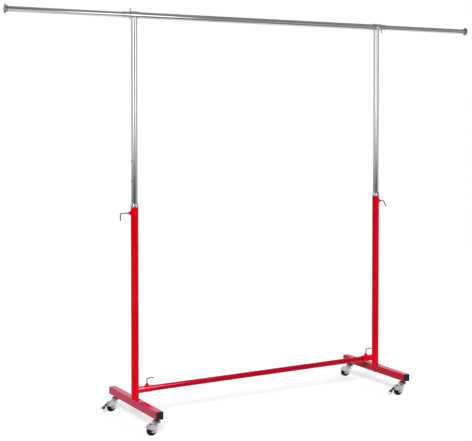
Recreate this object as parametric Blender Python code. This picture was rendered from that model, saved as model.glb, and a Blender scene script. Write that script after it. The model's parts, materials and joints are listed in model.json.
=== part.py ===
"""Rolling garment rack: a red tubular base on four casters, two chrome posts that slide in its
uprights, and a chrome hangrail with a pull-out extension arm at each end.

The rail runs along X, the feet run along Y and +Z is up. The origin lies on the floor, midway
between the uprights. All lengths are in metres.
"""

import math

import bmesh
import bpy
from mathutils import Matrix, Vector

# Fits
FIT = 0.0003                     # gap between pieces that touch on the real rack
TURNING_FIT = 0.0004             # radial gap of a piece that turns on a pin

# Overall layout
POST_SPACING = 1.486             # between the axes of the two posts
RAIL_RISE = 0.9438               # top of the uprights up to the hangrail's axis
CROSSBAR_RISE = 0.0402           # top of the feet up to the crossbar's axis
SIDES = {"left": -1.0, "right": 1.0}
ENDS = {"front": -1.0, "rear": 1.0}

# Extension arms, hangrail and tees
EXTENSION_OD = 0.0270
EXTENSION_WALL = 0.0012
EXTENSION_CLEARANCE = 0.0006     # radial, inside the hangrail
EXTENSION_OUT = 0.590            # tube that shows past the hangrail's end
EXTENSION_HELD = 0.120           # tube that stays inside the hangrail
HANGRAIL_WALL = 0.0018
HANGRAIL_OVERHANG = 0.060        # past the post's axis
TEE_WALL = 0.00285
TEE_LENGTH = 0.050
RAIL_CAP_OD = 0.0450
RAIL_CAP_THICKNESS = 0.0030
RAIL_CAP_DOME = 0.0040
RAIL_CAP_FERRULE = 0.0100
RAIL_CAP_WALL = 0.0018
RAIL_CAP_DIMPLE_D = 0.0036       # flat spot in the middle of the dome

# Posts and their bushes
POST_OD = 0.0318
POST_WALL = 0.0015
POST_CLEARANCE = 0.00155         # radial, inside the upright
POST_INSERT = 0.160              # below the top of the upright
POST_HOLE_D = 0.0090
POST_HOLE_START = 0.0938         # lowest hole above the post's lower end
POST_HOLE_PITCH = 0.0970
POST_HOLES = 4
BUSH_SLEEVE = 0.0250
BUSH_LIP = 0.0020

# Uprights, their collars, the crossbar and its stubs
UPRIGHT_WALL = 0.0016
UPRIGHT_LENGTH = 0.9553
BASE_PLATE = 0.0040              # nut plate in the foot of each upright
COLLAR_SKIRT_WALL = 0.0009
COLLAR_SKIRT = 0.0035
COLLAR_RISE = 0.0195
COLLAR_SPIGOT = 0.0120
CROSSBAR_OD = 0.0286
CROSSBAR_WALL = 0.0015
CROSSBAR_CLEARANCE = 0.00035     # radial, inside its stubs
CROSSBAR_END_GAP = 0.0060        # between the crossbar's end and the upright
STUB_WALL = 0.0016
STUB_REACH = 0.0918              # from the post's axis

# Feet, their caps, bolts and pins
FOOT_SIZE = 0.0381
FOOT_WALL = 0.0020
FOOT_CORNER = 0.0030
FOOT_LENGTH = 0.5588
FOOT_CAP_PLATE = 0.0030
FOOT_CAP_PLUG = 0.0120
FOOT_CAP_WALL = 0.0016
FOOT_BOLT_D = 0.0098
FOOT_BOLT_ACROSS_FLATS = 0.0160
FOOT_BOLT_HEAD = 0.0064
FOOT_BOLT_PROUD = 0.0030
PIN_D = 0.0050
PIN_HEAD_D = 0.0086
PIN_HEAD = 0.0034
PIN_BELOW = 0.0030
PIN_PLACE = (0.0108, -0.0290)    # from the post's axis, on the top of the foot

# Clamp screws: a bent rod in a welded boss
ROD_D = 0.0064
ROD_BEND = 0.0060
ROD_ARM = 0.0370
ROD_CHAMFER = 0.0008
BOSS_D = 0.0150
BOSS_BASE_D = 0.0240
BOSS_HEIGHT = 0.0115
BOSS_CONE = 0.0035               # height of the welded cone round a boss's foot
BOSS_ROOT = 0.0065               # how far a boss starts below its tube's surface
HEIGHT_SCREW_DROP = 0.0310       # below the top of the upright
HEIGHT_SCREW_REACH = {"left": 0.0570, "right": 0.0360}
HEIGHT_ARM_TILT = {"left": 0.0, "right": math.radians(-35.0)}
CROSSBAR_SCREW_PLACE = 0.0650    # from the post's axis
CROSSBAR_SCREW_REACH = 0.0363
RAIL_SCREW_REACH = 0.0260

# Casters
CASTER_INSET = 0.0360            # stem's axis from the end of the foot
CASTER_TURN = {                  # degrees about the stem, from trailing straight to the left
    ("left", "front"): 5.0,
    ("left", "rear"): 12.0,
    ("right", "front"): -3.0,
    ("right", "rear"): -20.0,
}
CASTER_TRAIL = 0.0270
WHEEL_RADIUS = 0.0250
WHEEL_WIDTH = 0.0180
WHEEL_CROWN = 0.0036
HUB_RADIUS = 0.0165
HUB_WIDTH = 0.0192
HUB_BOSS_RADIUS = 0.0060
HUB_DISH = 0.0030
AXLE_D = 0.0060
AXLE_HEAD_D = 0.0096
AXLE_HEAD = 0.0022
SLOT_CLEARANCE = 0.0007          # between the hub and each cheek
CHEEK_WALL = 0.0022
HOOD_CLEARANCE = 0.0040
HOOD_WALL = 0.0025
HOOD_START = math.radians(28.0)  # trailing end of the hood, above the axle's level
CHEEK_FRONT = 0.0240             # leading edge of the cheeks, ahead of the axle
CHEEK_FRONT_DROP = 0.0040        # how far that edge runs below the axle
CHEEK_LOBE = 0.0150
LOBE_START = math.radians(235.0)
LOBE_END = math.radians(275.0)
NECK_D = 0.0210
NECK_FLOOR = 0.0045
NECK_BORE_FLOOR = 0.0205         # above the axle
NECK_ABOVE_HOOD = 0.0025
CAP_D = 0.0440
CAP_HEIGHT = 0.0150
CAP_RIM = 0.0018
CAP_CROWN_D = 0.0190
STEM_D = 0.0080
STEM_COLLAR_D = 0.0150
STEM_NECK = 0.0071               # between the swivel cap and the foot
STUD_D = 0.0095
STUD_LENGTH = 0.0240

# Brake pedals
BRAKED = {("left", "rear"), ("right", "front")}
PEDAL_PIVOT = (0.0270, 0.0125)   # outwards and up from the axle
PEDAL_BARREL_D = 0.0054
PEDAL_PIN_D = 0.0034
PEDAL_EAR = 0.0046
PEDAL_SHEET = 0.0020
PEDAL_LENGTH = 0.0330
PEDAL_DROP = 0.0130
PEDAL_ROOT = 0.0115              # straight part behind the barrel
PEDAL_BEND = 0.0215              # where the sheet levels out again
PEDAL_BEND_DROP = 0.0100
PEDAL_LIP = 0.0050
PEDAL_LIP_RISE = 0.0025
PEDAL_WIDTH = 0.0280
PEDAL_ROOT_WIDTH = 0.0190

# Facets
TUBE_SIDES = 20
ROD_SIDES = 8
SMALL_SIDES = 10
WHEEL_SIDES = 16                 # a multiple of four, so that a flat of each tyre lies down
CORNER_STEPS = 2
BEND_STEPS = 4
HOOD_STEPS = 10
LOBE_STEPS = 3
DOME_STEPS = 3
SHARP_EDGE = math.radians(35.0)

# Sizes that follow from the ones above
POST_X = POST_SPACING / 2
HANGRAIL_OD = EXTENSION_OD + 2 * (EXTENSION_CLEARANCE + HANGRAIL_WALL)
TEE_OD = HANGRAIL_OD + 2 * (FIT + TEE_WALL)
UPRIGHT_ID = POST_OD + 2 * POST_CLEARANCE
UPRIGHT_OD = UPRIGHT_ID + 2 * UPRIGHT_WALL
STUB_ID = CROSSBAR_OD + 2 * CROSSBAR_CLEARANCE
STUB_OD = STUB_ID + 2 * STUB_WALL
HOOD_INNER = WHEEL_RADIUS + HOOD_CLEARANCE
HOOD_OUTER = HOOD_INNER + HOOD_WALL
HOOD_END = math.pi - math.acos(CHEEK_FRONT / HOOD_OUTER)
SLOT_HALF = HUB_WIDTH / 2 + SLOT_CLEARANCE
FORK_HALF = SLOT_HALF + CHEEK_WALL
NECK_TOP = WHEEL_RADIUS + HOOD_OUTER + NECK_ABOVE_HOOD
CAP_UNDER = NECK_TOP + FIT
CAP_TOP = CAP_UNDER + CAP_HEIGHT - CAP_RIM
FOOT_BOTTOM = CAP_TOP + STEM_NECK
FOOT_TOP = FOOT_BOTTOM + FOOT_SIZE
UPRIGHT_BOTTOM = FOOT_TOP + FIT
UPRIGHT_TOP = UPRIGHT_BOTTOM + UPRIGHT_LENGTH
RAIL_Z = UPRIGHT_TOP + RAIL_RISE
CROSSBAR_Z = FOOT_TOP + CROSSBAR_RISE
HEIGHT_SCREW_Z = UPRIGHT_TOP - HEIGHT_SCREW_DROP
POST_BOTTOM = UPRIGHT_TOP - POST_INSERT
HANGRAIL_END = POST_X + HANGRAIL_OVERHANG
SCREW_HOLE_R = ROD_D / 2 + TURNING_FIT
CASTER_Y = FOOT_LENGTH / 2 - CASTER_INSET

ALONG_X = Matrix.Rotation(math.pi / 2, 4, "Y")
ALONG_Y = Matrix.Rotation(-math.pi / 2, 4, "X")
UPWARDS = Matrix.Identity(4)


def clear_scene():
    """Removes whatever the scene holds."""
    for thing in list(bpy.data.objects):
        bpy.data.objects.remove(thing, do_unlink=True)


def finish(name, color, roughness, metallic, coat=0.0):
    """A plain Principled material."""
    material = bpy.data.materials.new(name)
    material.use_nodes = True
    shader = material.node_tree.nodes["Principled BSDF"]
    shader.inputs["Base Color"].default_value = (*color, 1.0)
    shader.inputs["Roughness"].default_value = roughness
    shader.inputs["Metallic"].default_value = metallic
    shader.inputs["Coat Weight"].default_value = coat
    material.diffuse_color = (*color, 1.0)
    return material


def ring(radius, height, sides):
    """A circle of points at a height on the Z axis."""
    steps = [math.tau * (i + 0.5) / sides for i in range(sides)]
    return [Vector((radius * math.cos(a), radius * math.sin(a), height)) for a in steps]


def hexagon(apothem, height, sides):
    """A hexagon of points, with some along each edge, so that it can meet a circle's ring."""
    points = []
    for point in ring(1.0, height, sides):
        angle = math.atan2(point.y, point.x)
        off_flat = (angle + math.pi / 6) % (math.pi / 3) - math.pi / 6
        radius = apothem / math.cos(off_flat)
        points.append(Vector((radius * math.cos(angle), radius * math.sin(angle), height)))
    return points


def rounded_square(half, corner, height):
    """A square of points with rounded corners, at a height on the Z axis."""
    points = []
    for quarter in range(4):
        centre = Matrix.Rotation(quarter * math.pi / 2, 3, "Z") @ Vector(
            (half - corner, half - corner, 0.0)
        )
        for step in range(CORNER_STEPS + 1):
            angle = (quarter + step / CORNER_STEPS) * math.pi / 2
            offset = Vector((corner * math.cos(angle), corner * math.sin(angle), height))
            points.append(centre + offset)
    return points


def loft(loops, turn=UPWARDS, closed=False):
    """A mesh skinned over loops of equal length: capped at both ends, or closed into a ring."""
    shape = bmesh.new()
    rows = [[shape.verts.new(point) for point in loop] for loop in loops]
    pairs = list(zip(rows, rows[1:] + rows[:1])) if closed else list(zip(rows, rows[1:]))
    for lower, upper in pairs:
        for i in range(len(lower)):
            j = (i + 1) % len(lower)
            shape.faces.new((lower[i], lower[j], upper[j], upper[i]))
    if not closed:
        shape.faces.new(list(reversed(rows[0])))
        shape.faces.new(rows[-1])
    shape.transform(turn)
    bmesh.ops.recalc_face_normals(shape, faces=shape.faces)
    mesh = bpy.data.meshes.new("shape")
    shape.to_mesh(mesh)
    shape.free()
    return mesh


def turned(profile, sides, turn=UPWARDS, closed=False):
    """A body of revolution from (radius, height) points."""
    return loft([ring(radius, height, sides) for radius, height in profile], turn, closed)


def rod(diameter, low, high, sides=SMALL_SIDES, turn=UPWARDS):
    """A plain round bar between two heights on the Z axis."""
    return turned([(diameter / 2, low), (diameter / 2, high)], sides, turn)


def tube(outer, wall, low, high, turn=UPWARDS):
    """A round tube between two heights on the Z axis."""
    far, near = outer / 2, outer / 2 - wall
    profile = [(far, low), (far, high), (near, high), (near, low)]
    return turned(profile, TUBE_SIDES, turn, closed=True)


def plate(outline, half_width):
    """A flat plate with its outline in the XZ plane, as thick as twice half_width along Y."""
    loops = [
        [Vector((x, y, z)) for x, z in outline] for y in (-half_width, half_width)
    ]
    return loft(loops)


def add(name, mesh, material=None, at=(0.0, 0.0, 0.0), parent=None):
    """An object for a mesh, at a place in its parent's frame."""
    mesh.shade_smooth()
    mesh.set_sharp_from_angle(angle=SHARP_EDGE)
    thing = bpy.data.objects.new(name, mesh)
    bpy.context.scene.collection.objects.link(thing)
    thing.location = at
    thing.parent = parent
    if material is None:
        thing.hide_render = True
        thing.display_type = "WIRE"
    else:
        mesh.materials.append(material)
    return thing


def combine(thing, operation, mesh, at=None):
    """Adds or cuts a shape, placed like the object unless a place is given."""
    helper = add(f"{thing.name}_{operation.lower()}", mesh, parent=thing.parent)
    helper.location = thing.location if at is None else at
    modifier = thing.modifiers.new(operation.title(), "BOOLEAN")
    modifier.operation = operation
    modifier.object = helper
    return helper


def joint_frame(name, at, parent=None, turn=0.0):
    """An empty on a joint's axis, which carries the pieces that move with it."""
    frame = bpy.data.objects.new(name, None)
    bpy.context.scene.collection.objects.link(frame)
    frame.location = at
    frame.rotation_euler.z = turn
    frame.parent = parent
    return frame


def boss(surface, turn):
    """A weld nut that stands on a tube whose surface is at a distance from its axis."""
    radius = BOSS_D / 2
    top = surface + BOSS_HEIGHT
    profile = [
        (BOSS_BASE_D / 2, surface - BOSS_ROOT),
        (radius, surface + BOSS_CONE),
        (radius, top - ROD_CHAMFER),
        (radius - ROD_CHAMFER, top),
    ]
    return turned(profile, SMALL_SIDES, turn)


def screw_hole(turn, surface):
    """The cutter for a clamp screw's hole, from inside its tube to past its boss."""
    return rod(2 * SCREW_HOLE_R, 0.0, surface + 2 * BOSS_HEIGHT, SMALL_SIDES, turn)


# Base ---------------------------------------------------------------------------------------


def make_foot(side, x, finishes):
    """The square tube that two casters and an upright stand on, with its end caps."""
    half = FOOT_SIZE / 2
    centre_z = FOOT_BOTTOM + half
    inner = half - FOOT_WALL
    inner_corner = max(FOOT_CORNER - FOOT_WALL, FIT)
    ends = (-FOOT_LENGTH / 2, FOOT_LENGTH / 2)
    loops = [rounded_square(half, FOOT_CORNER, end) for end in ends]
    loops += [rounded_square(inner, inner_corner, end) for end in reversed(ends)]
    foot = add(
        f"{side}_foot", loft(loops, ALONG_Y, closed=True), finishes["red"], (x, 0, centre_z)
    )
    stud_hole = rod(STUD_D + 2 * FIT, -FOOT_SIZE, 0.0)
    for end in ENDS.values():
        combine(foot, "DIFFERENCE", stud_hole.copy(), (x, end * CASTER_Y, centre_z))
    combine(foot, "DIFFERENCE", rod(FOOT_BOLT_D + 2 * FIT, -FOOT_SIZE, FOOT_SIZE))
    pin_at = (x + PIN_PLACE[0], PIN_PLACE[1], centre_z)
    combine(foot, "DIFFERENCE", rod(PIN_D + 2 * FIT, 0.0, FOOT_SIZE), pin_at)
    for end, sign in ENDS.items():
        make_foot_cap(f"{side}_{end}_foot_cap", x, sign, centre_z, inner_corner, finishes)


def make_foot_cap(name, x, sign, centre_z, inner_corner, finishes):
    """A plastic plug with a plate that covers the end of a foot."""
    half = FOOT_SIZE / 2
    inner = half - FOOT_WALL
    plug = inner - FIT
    edge = FOOT_CAP_PLATE / 3
    thin = plug - FOOT_CAP_WALL
    face = FIT + FOOT_CAP_PLATE
    loops = [
        rounded_square(half - edge, FOOT_CORNER - edge, face),
        rounded_square(half, FOOT_CORNER, face - edge),
        rounded_square(half, FOOT_CORNER, FIT),
        rounded_square(plug, inner_corner, FIT),
        rounded_square(plug, inner_corner, -FOOT_CAP_PLUG),
        rounded_square(thin, inner_corner / 2, -FOOT_CAP_PLUG),
        rounded_square(thin, inner_corner / 2, 0.0),
    ]
    turn = Matrix.Rotation(-sign * math.pi / 2, 4, "X")
    add(name, loft(loops, turn), finishes["plastic"], (x, sign * FOOT_LENGTH / 2, centre_z))


def make_foot_fasteners(side, x, finishes):
    """The bolt that holds the upright from below, and the pin beside it."""
    shank = FOOT_BOLT_D / 2
    shank_top = FOOT_SIZE + FIT + BASE_PLATE + FOOT_BOLT_PROUD
    flat = FOOT_BOLT_ACROSS_FLATS / 2
    sides = 2 * ROD_SIDES
    loops = [
        ring(flat, -FIT - FOOT_BOLT_HEAD, sides),
        hexagon(flat, -FIT - FOOT_BOLT_HEAD + ROD_CHAMFER, sides),
        hexagon(flat, -FIT, sides),
        ring(shank, -FIT, sides),
        ring(shank, shank_top, sides),
    ]
    add(f"{side}_foot_bolt", loft(loops), finishes["steel"], (x, 0, FOOT_BOTTOM))
    profile = [
        (PIN_D / 2, -FOOT_WALL - PIN_BELOW),
        (PIN_D / 2, FIT),
        (PIN_HEAD_D / 2, FIT),
        (PIN_HEAD_D / 2, FIT + PIN_HEAD / 3),
        (PIN_HEAD_D / 4, FIT + PIN_HEAD),
    ]
    pin_at = (x + PIN_PLACE[0], PIN_PLACE[1], FOOT_TOP)
    add(f"{side}_locating_pin", turned(profile, ROD_SIDES), finishes["red"], pin_at)


def make_upright(side, x, sign, finishes):
    """The red tube that the post slides in, with its nut plate and its weld nut."""
    at = (x, 0.0, UPRIGHT_BOTTOM)
    upright = add(
        f"{side}_upright",
        rod(UPRIGHT_OD, 0.0, UPRIGHT_LENGTH, TUBE_SIDES),
        finishes["red"],
        at,
    )
    outwards = Matrix.Rotation(sign * math.pi / 2, 4, "Y")
    screw_at = (x, 0.0, HEIGHT_SCREW_Z)
    combine(upright, "UNION", boss(UPRIGHT_OD / 2, outwards), screw_at)
    bore = rod(UPRIGHT_ID, BASE_PLATE, UPRIGHT_LENGTH + BOSS_HEIGHT, TUBE_SIDES)
    combine(upright, "DIFFERENCE", bore)
    combine(upright, "DIFFERENCE", screw_hole(outwards, UPRIGHT_OD / 2), screw_at)
    combine(upright, "DIFFERENCE", rod(FOOT_BOLT_D + 2 * FIT, -BASE_PLATE, 2 * BASE_PLATE))


def make_collar(side, x, finishes):
    """The chrome guide on top of an upright, with a spigot inside the tube."""
    bore = POST_OD / 2 + FIT
    outer = UPRIGHT_OD / 2 + FIT + COLLAR_SKIRT_WALL
    spigot = UPRIGHT_ID / 2 - FIT
    round_off = COLLAR_SKIRT_WALL
    profile = [
        (bore, COLLAR_RISE),
        (outer - 2 * round_off, COLLAR_RISE),
        (outer - round_off / 2, COLLAR_RISE - round_off / 2),
        (outer, COLLAR_RISE - 2 * round_off),
        (outer, -COLLAR_SKIRT),
        (UPRIGHT_OD / 2 + FIT, -COLLAR_SKIRT),
        (UPRIGHT_OD / 2 + FIT, FIT),
        (spigot, FIT),
        (spigot, -COLLAR_SPIGOT),
        (bore, -COLLAR_SPIGOT),
    ]
    mesh = turned(profile, TUBE_SIDES, closed=True)
    add(f"{side}_collar", mesh, finishes["chrome"], (x, 0, UPRIGHT_TOP))


def make_stub(side, x, sign, finishes):
    """The red socket on an upright that takes the end of the crossbar."""
    inwards = Matrix.Rotation(-sign * math.pi / 2, 4, "Y")
    at = (x, 0.0, CROSSBAR_Z)
    stub = add(
        f"{side}_crossbar_stub",
        rod(STUB_OD, 0.0, STUB_REACH, TUBE_SIDES, inwards),
        finishes["red"],
        at,
    )
    screw_at = (x - sign * CROSSBAR_SCREW_PLACE, 0.0, CROSSBAR_Z)
    combine(stub, "UNION", boss(STUB_OD / 2, UPWARDS), screw_at)
    bore = rod(STUB_ID, -UPRIGHT_OD, STUB_REACH + UPRIGHT_OD, TUBE_SIDES, inwards)
    combine(stub, "DIFFERENCE", bore)
    combine(stub, "DIFFERENCE", screw_hole(UPWARDS, STUB_OD / 2), screw_at)
    saddle = rod(UPRIGHT_OD + 2 * FIT, -STUB_OD, STUB_OD, TUBE_SIDES)
    combine(stub, "DIFFERENCE", saddle)


def make_crossbar(finishes):
    """The tube that ties the two uprights together."""
    half = POST_X - UPRIGHT_OD / 2 - CROSSBAR_END_GAP
    mesh = tube(CROSSBAR_OD, CROSSBAR_WALL, -half, half, ALONG_X)
    add("crossbar", mesh, finishes["red"], (0, 0, CROSSBAR_Z))


def make_base(finishes):
    """Everything that stays put when the rack is adjusted."""
    for side, sign in SIDES.items():
        x = sign * POST_X
        make_foot(side, x, finishes)
        make_foot_fasteners(side, x, finishes)
        make_upright(side, x, sign, finishes)
        make_collar(side, x, finishes)
        make_stub(side, x, sign, finishes)
    make_crossbar(finishes)


# Sliding frame ------------------------------------------------------------------------------


def make_post(side, sign, frame, finishes):
    """A chrome post with index holes on its outer side, coped to fit under the tee."""
    low = POST_BOTTOM - RAIL_Z
    at = (sign * POST_X, 0.0, 0.0)
    post = add(
        f"{side}_post", tube(POST_OD, POST_WALL, low, 0.0), finishes["chrome"], at, frame
    )
    saddle = rod(TEE_OD + 2 * FIT, -TEE_OD, TEE_OD, TUBE_SIDES, ALONG_X)
    combine(post, "DIFFERENCE", saddle)
    outwards = Matrix.Rotation(sign * math.pi / 2, 4, "Y")
    for index in range(POST_HOLES):
        height = low + POST_HOLE_START + index * POST_HOLE_PITCH
        hole = rod(POST_HOLE_D, 0.0, POST_OD, SMALL_SIDES, outwards)
        combine(post, "DIFFERENCE", hole, (at[0], 0.0, height))
    bore = POST_OD / 2 + FIT
    outer = UPRIGHT_ID / 2 - FIT
    lip = POST_OD / 2 - POST_WALL - BUSH_LIP
    profile = [
        (lip, -FIT - BUSH_LIP),
        (outer, -FIT - BUSH_LIP),
        (outer, BUSH_SLEEVE),
        (bore, BUSH_SLEEVE),
        (bore, -FIT),
        (lip, -FIT),
    ]
    bush = turned(profile, TUBE_SIDES, closed=True)
    add(f"{side}_post_bush", bush, finishes["plastic"], (at[0], 0.0, low), frame)


def make_tee(side, sign, frame, finishes):
    """The sleeve on a post's top that holds the hangrail, with its weld nut."""
    at = (sign * POST_X, 0.0, 0.0)
    half = TEE_LENGTH / 2
    tee = add(
        f"{side}_tee",
        rod(TEE_OD, -half, half, TUBE_SIDES, ALONG_X),
        finishes["chrome"],
        at,
        frame,
    )
    to_screw = Matrix.Rotation(sign * math.pi / 2, 4, "X")
    combine(tee, "UNION", boss(TEE_OD / 2, to_screw))
    bore = rod(HANGRAIL_OD + 2 * FIT, -TEE_LENGTH, TEE_LENGTH, TUBE_SIDES, ALONG_X)
    combine(tee, "DIFFERENCE", bore)
    combine(tee, "DIFFERENCE", screw_hole(to_screw, TEE_OD / 2))


def make_hangrail(frame, finishes):
    """The tube that the hangers hang on, which the extensions slide in."""
    mesh = tube(HANGRAIL_OD, HANGRAIL_WALL, -HANGRAIL_END, HANGRAIL_END, ALONG_X)
    hangrail = add("hangrail", mesh, finishes["chrome"], parent=frame)
    for sign in SIDES.values():
        to_screw = Matrix.Rotation(sign * math.pi / 2, 4, "X")
        hole = screw_hole(to_screw, TEE_OD / 2)
        combine(hangrail, "DIFFERENCE", hole, (sign * POST_X, 0.0, 0.0))


def make_extension(side, sign, slider, finishes):
    """A pull-out arm with its domed end cap; its frame lies at the hangrail's end."""
    outwards = Matrix.Rotation(sign * math.pi / 2, 4, "Y")
    arm = tube(EXTENSION_OD, EXTENSION_WALL, -EXTENSION_HELD, EXTENSION_OUT, outwards)
    add(f"{side}_extension", arm, finishes["chrome"], parent=slider)
    socket = EXTENSION_OD / 2 + FIT
    ferrule = socket + RAIL_CAP_WALL
    rim = RAIL_CAP_OD / 2
    profile = [
        (socket, 0.0),
        (socket, -RAIL_CAP_FERRULE),
        (ferrule, -RAIL_CAP_FERRULE),
        (ferrule, 0.0),
        (rim - RAIL_CAP_THICKNESS / 3, 0.0),
        (rim, RAIL_CAP_THICKNESS / 3),
        (rim, 2 * RAIL_CAP_THICKNESS / 3),
    ]
    edge, flat = rim - RAIL_CAP_THICKNESS / 3, RAIL_CAP_DIMPLE_D / 2
    for step in range(DOME_STEPS + 1):
        radius = edge + (flat - edge) * step / DOME_STEPS
        rise = RAIL_CAP_DOME * (1.0 - (radius / edge) ** 2)
        profile.append((radius, RAIL_CAP_THICKNESS + rise))
    mesh = turned(profile, TUBE_SIDES, outwards)
    at = (sign * (EXTENSION_OUT + FIT), 0.0, 0.0)
    add(f"{side}_extension_cap", mesh, finishes["chrome"], at, slider)


def make_sliding_frame(finishes):
    """The posts, tees and hangrail, which slide up and down as one, and their arms."""
    frame = joint_frame("height_slide", (0.0, 0.0, RAIL_Z))
    make_hangrail(frame, finishes)
    for side, sign in SIDES.items():
        make_post(side, sign, frame, finishes)
        make_tee(side, sign, frame, finishes)
        slider = joint_frame(f"{side}_extension_slide", (sign * HANGRAIL_END, 0, 0), frame)
        make_extension(side, sign, slider, finishes)
    return frame


# Clamp screws -------------------------------------------------------------------------------


def bent_rod(tip, reach):
    """An L-shaped screw: its shank on the Z axis from tip up to reach, its arm along X."""
    centre_z = reach - ROD_BEND
    places = [(Vector((0.0, 0.0, tip)), 0.0, ROD_D / 2 - ROD_CHAMFER)]
    places.append((Vector((0.0, 0.0, tip + ROD_CHAMFER)), 0.0, ROD_D / 2))
    for step in range(BEND_STEPS + 1):
        angle = step / BEND_STEPS * math.pi / 2
        across = ROD_BEND * (1.0 - math.cos(angle))
        along = ROD_BEND * math.sin(angle)
        places.append((Vector((across, 0.0, centre_z + along)), angle, ROD_D / 2))
    end = math.pi / 2
    places.append((Vector((ROD_ARM - ROD_CHAMFER, 0.0, reach)), end, ROD_D / 2))
    places.append((Vector((ROD_ARM, 0.0, reach)), end, ROD_D / 2 - ROD_CHAMFER))
    loops = []
    for centre, angle, radius in places:
        tilt = Matrix.Rotation(angle, 3, "Y")
        loops.append([centre + tilt @ point for point in ring(radius, 0.0, ROD_SIDES)])
    return loft(loops)


def make_screw(name, at, axis, arm, tip, reach, parent, finishes):
    """A clamp screw, with its shank along axis and its arm along arm."""
    screw = add(f"{name}_screw", bent_rod(tip, reach), finishes["chrome"], at, parent)
    outwards = Vector(axis).normalized()
    sideways = Vector(arm).normalized()
    across = outwards.cross(sideways)
    turn = Matrix((sideways, across, outwards)).transposed()
    screw.rotation_euler = turn.to_euler()


def make_screws(frame, finishes):
    """Two screws at the uprights, two at the crossbar and two at the hangrail."""
    for side, sign in SIDES.items():
        x = sign * POST_X
        tilt = HEIGHT_ARM_TILT[side]
        make_screw(
            f"{side}_height",
            (x, 0.0, HEIGHT_SCREW_Z),
            (sign, 0.0, 0.0),
            (0.0, math.sin(tilt), -math.cos(tilt)),
            POST_OD / 2 + FIT,
            UPRIGHT_OD / 2 + HEIGHT_SCREW_REACH[side],
            None,
            finishes,
        )
        make_screw(
            f"{side}_crossbar",
            (x - sign * CROSSBAR_SCREW_PLACE, 0.0, CROSSBAR_Z),
            (0.0, 0.0, 1.0),
            (1.0, 0.0, 0.0),
            CROSSBAR_OD / 2 + FIT,
            STUB_OD / 2 + CROSSBAR_SCREW_REACH,
            None,
            finishes,
        )
        make_screw(
            f"{side}_rail",
            (x, 0.0, 0.0),
            (0.0, -sign, 0.0),
            (0.0, 0.0, -sign),
            EXTENSION_OD / 2 + FIT,
            TEE_OD / 2 + RAIL_SCREW_REACH,
            frame,
            finishes,
        )


# Casters ------------------------------------------------------------------------------------


def hood_point(angle, radius):
    """A point round the axle, in the swivel's frame; angles start at the trailing side."""
    return (
        -CASTER_TRAIL - radius * math.cos(angle),
        WHEEL_RADIUS + radius * math.sin(angle),
    )


def hood_outline():
    """The hood's side view: an arc over the wheel, a straight front and a lobe below the axle."""
    points = []
    for step in range(HOOD_STEPS + 1):
        angle = HOOD_START + (HOOD_END - HOOD_START) * step / HOOD_STEPS
        points.append(hood_point(angle, HOOD_OUTER))
    points.append((CHEEK_FRONT - CASTER_TRAIL, WHEEL_RADIUS - CHEEK_FRONT_DROP))
    for step in range(LOBE_STEPS + 1):
        angle = LOBE_START + (LOBE_END - LOBE_START) * step / LOBE_STEPS
        points.append(hood_point(angle, CHEEK_LOBE))
    return points


def make_fork(name, swivel, braked, finishes):
    """The hood with its two cheeks and neck, and ears for a pedal where there is one."""
    shell = plate(hood_outline(), FORK_HALF)
    fork = add(f"{name}_caster_fork", shell, finishes["chrome"], parent=swivel)
    neck_low = WHEEL_RADIUS + NECK_BORE_FLOOR - NECK_FLOOR
    neck = rod(NECK_D, neck_low, NECK_TOP, WHEEL_SIDES)
    combine(fork, "UNION", neck)
    axle_at = (-CASTER_TRAIL, 0.0, WHEEL_RADIUS)
    if braked:
        ear = rod(2 * PEDAL_EAR, -FORK_HALF, FORK_HALF, SMALL_SIDES, ALONG_Y)
        combine(fork, "UNION", ear, pedal_place())
    slot = rod(2 * HOOD_INNER, -SLOT_HALF, SLOT_HALF, TUBE_SIDES, ALONG_Y)
    combine(fork, "DIFFERENCE", slot, axle_at)
    bore = rod(STEM_D + 2 * TURNING_FIT, WHEEL_RADIUS + NECK_BORE_FLOOR, 2 * NECK_TOP)
    combine(fork, "DIFFERENCE", bore)
    axle_hole = rod(AXLE_D + 2 * FIT, -2 * FORK_HALF, 2 * FORK_HALF, SMALL_SIDES, ALONG_Y)
    combine(fork, "DIFFERENCE", axle_hole, axle_at)
    if braked:
        notch = rod(2 * PEDAL_EAR + 2 * FIT, -SLOT_HALF, SLOT_HALF, SMALL_SIDES, ALONG_Y)
        combine(fork, "DIFFERENCE", notch, pedal_place())
        pin_d = PEDAL_PIN_D + 2 * TURNING_FIT
        pin_hole = rod(pin_d, -2 * FORK_HALF, 2 * FORK_HALF, ROD_SIDES, ALONG_Y)
        combine(fork, "DIFFERENCE", pin_hole, pedal_place())


def pedal_place():
    """The pedal's pivot, in the swivel's frame."""
    out, up = PEDAL_PIVOT
    return (-CASTER_TRAIL - out, 0.0, WHEEL_RADIUS + up)


def make_swivel_cap(name, swivel, finishes):
    """The umbrella-shaped cover of the swivel bearing."""
    bore = STEM_D / 2 + TURNING_FIT
    rim, crown = CAP_D / 2, CAP_CROWN_D / 2
    under = CAP_UNDER
    drop = NECK_ABOVE_HOOD / 2
    profile = [
        (bore, under),
        (rim - CAP_RIM, under),
        (rim - CAP_RIM / 2, under - drop),
        (rim, under - drop),
    ]
    for step in range(DOME_STEPS + 1):
        angle = step / DOME_STEPS * math.pi / 2
        radius = crown + (rim - crown) * math.cos(angle)
        height = under + CAP_RIM / 2 + (CAP_TOP - under - CAP_RIM / 2) * math.sin(angle)
        profile.append((radius, height))
    profile.append((bore, CAP_TOP))
    mesh = turned(profile, WHEEL_SIDES, closed=True)
    add(f"{name}_caster_cap", mesh, finishes["chrome"], parent=swivel)


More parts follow.
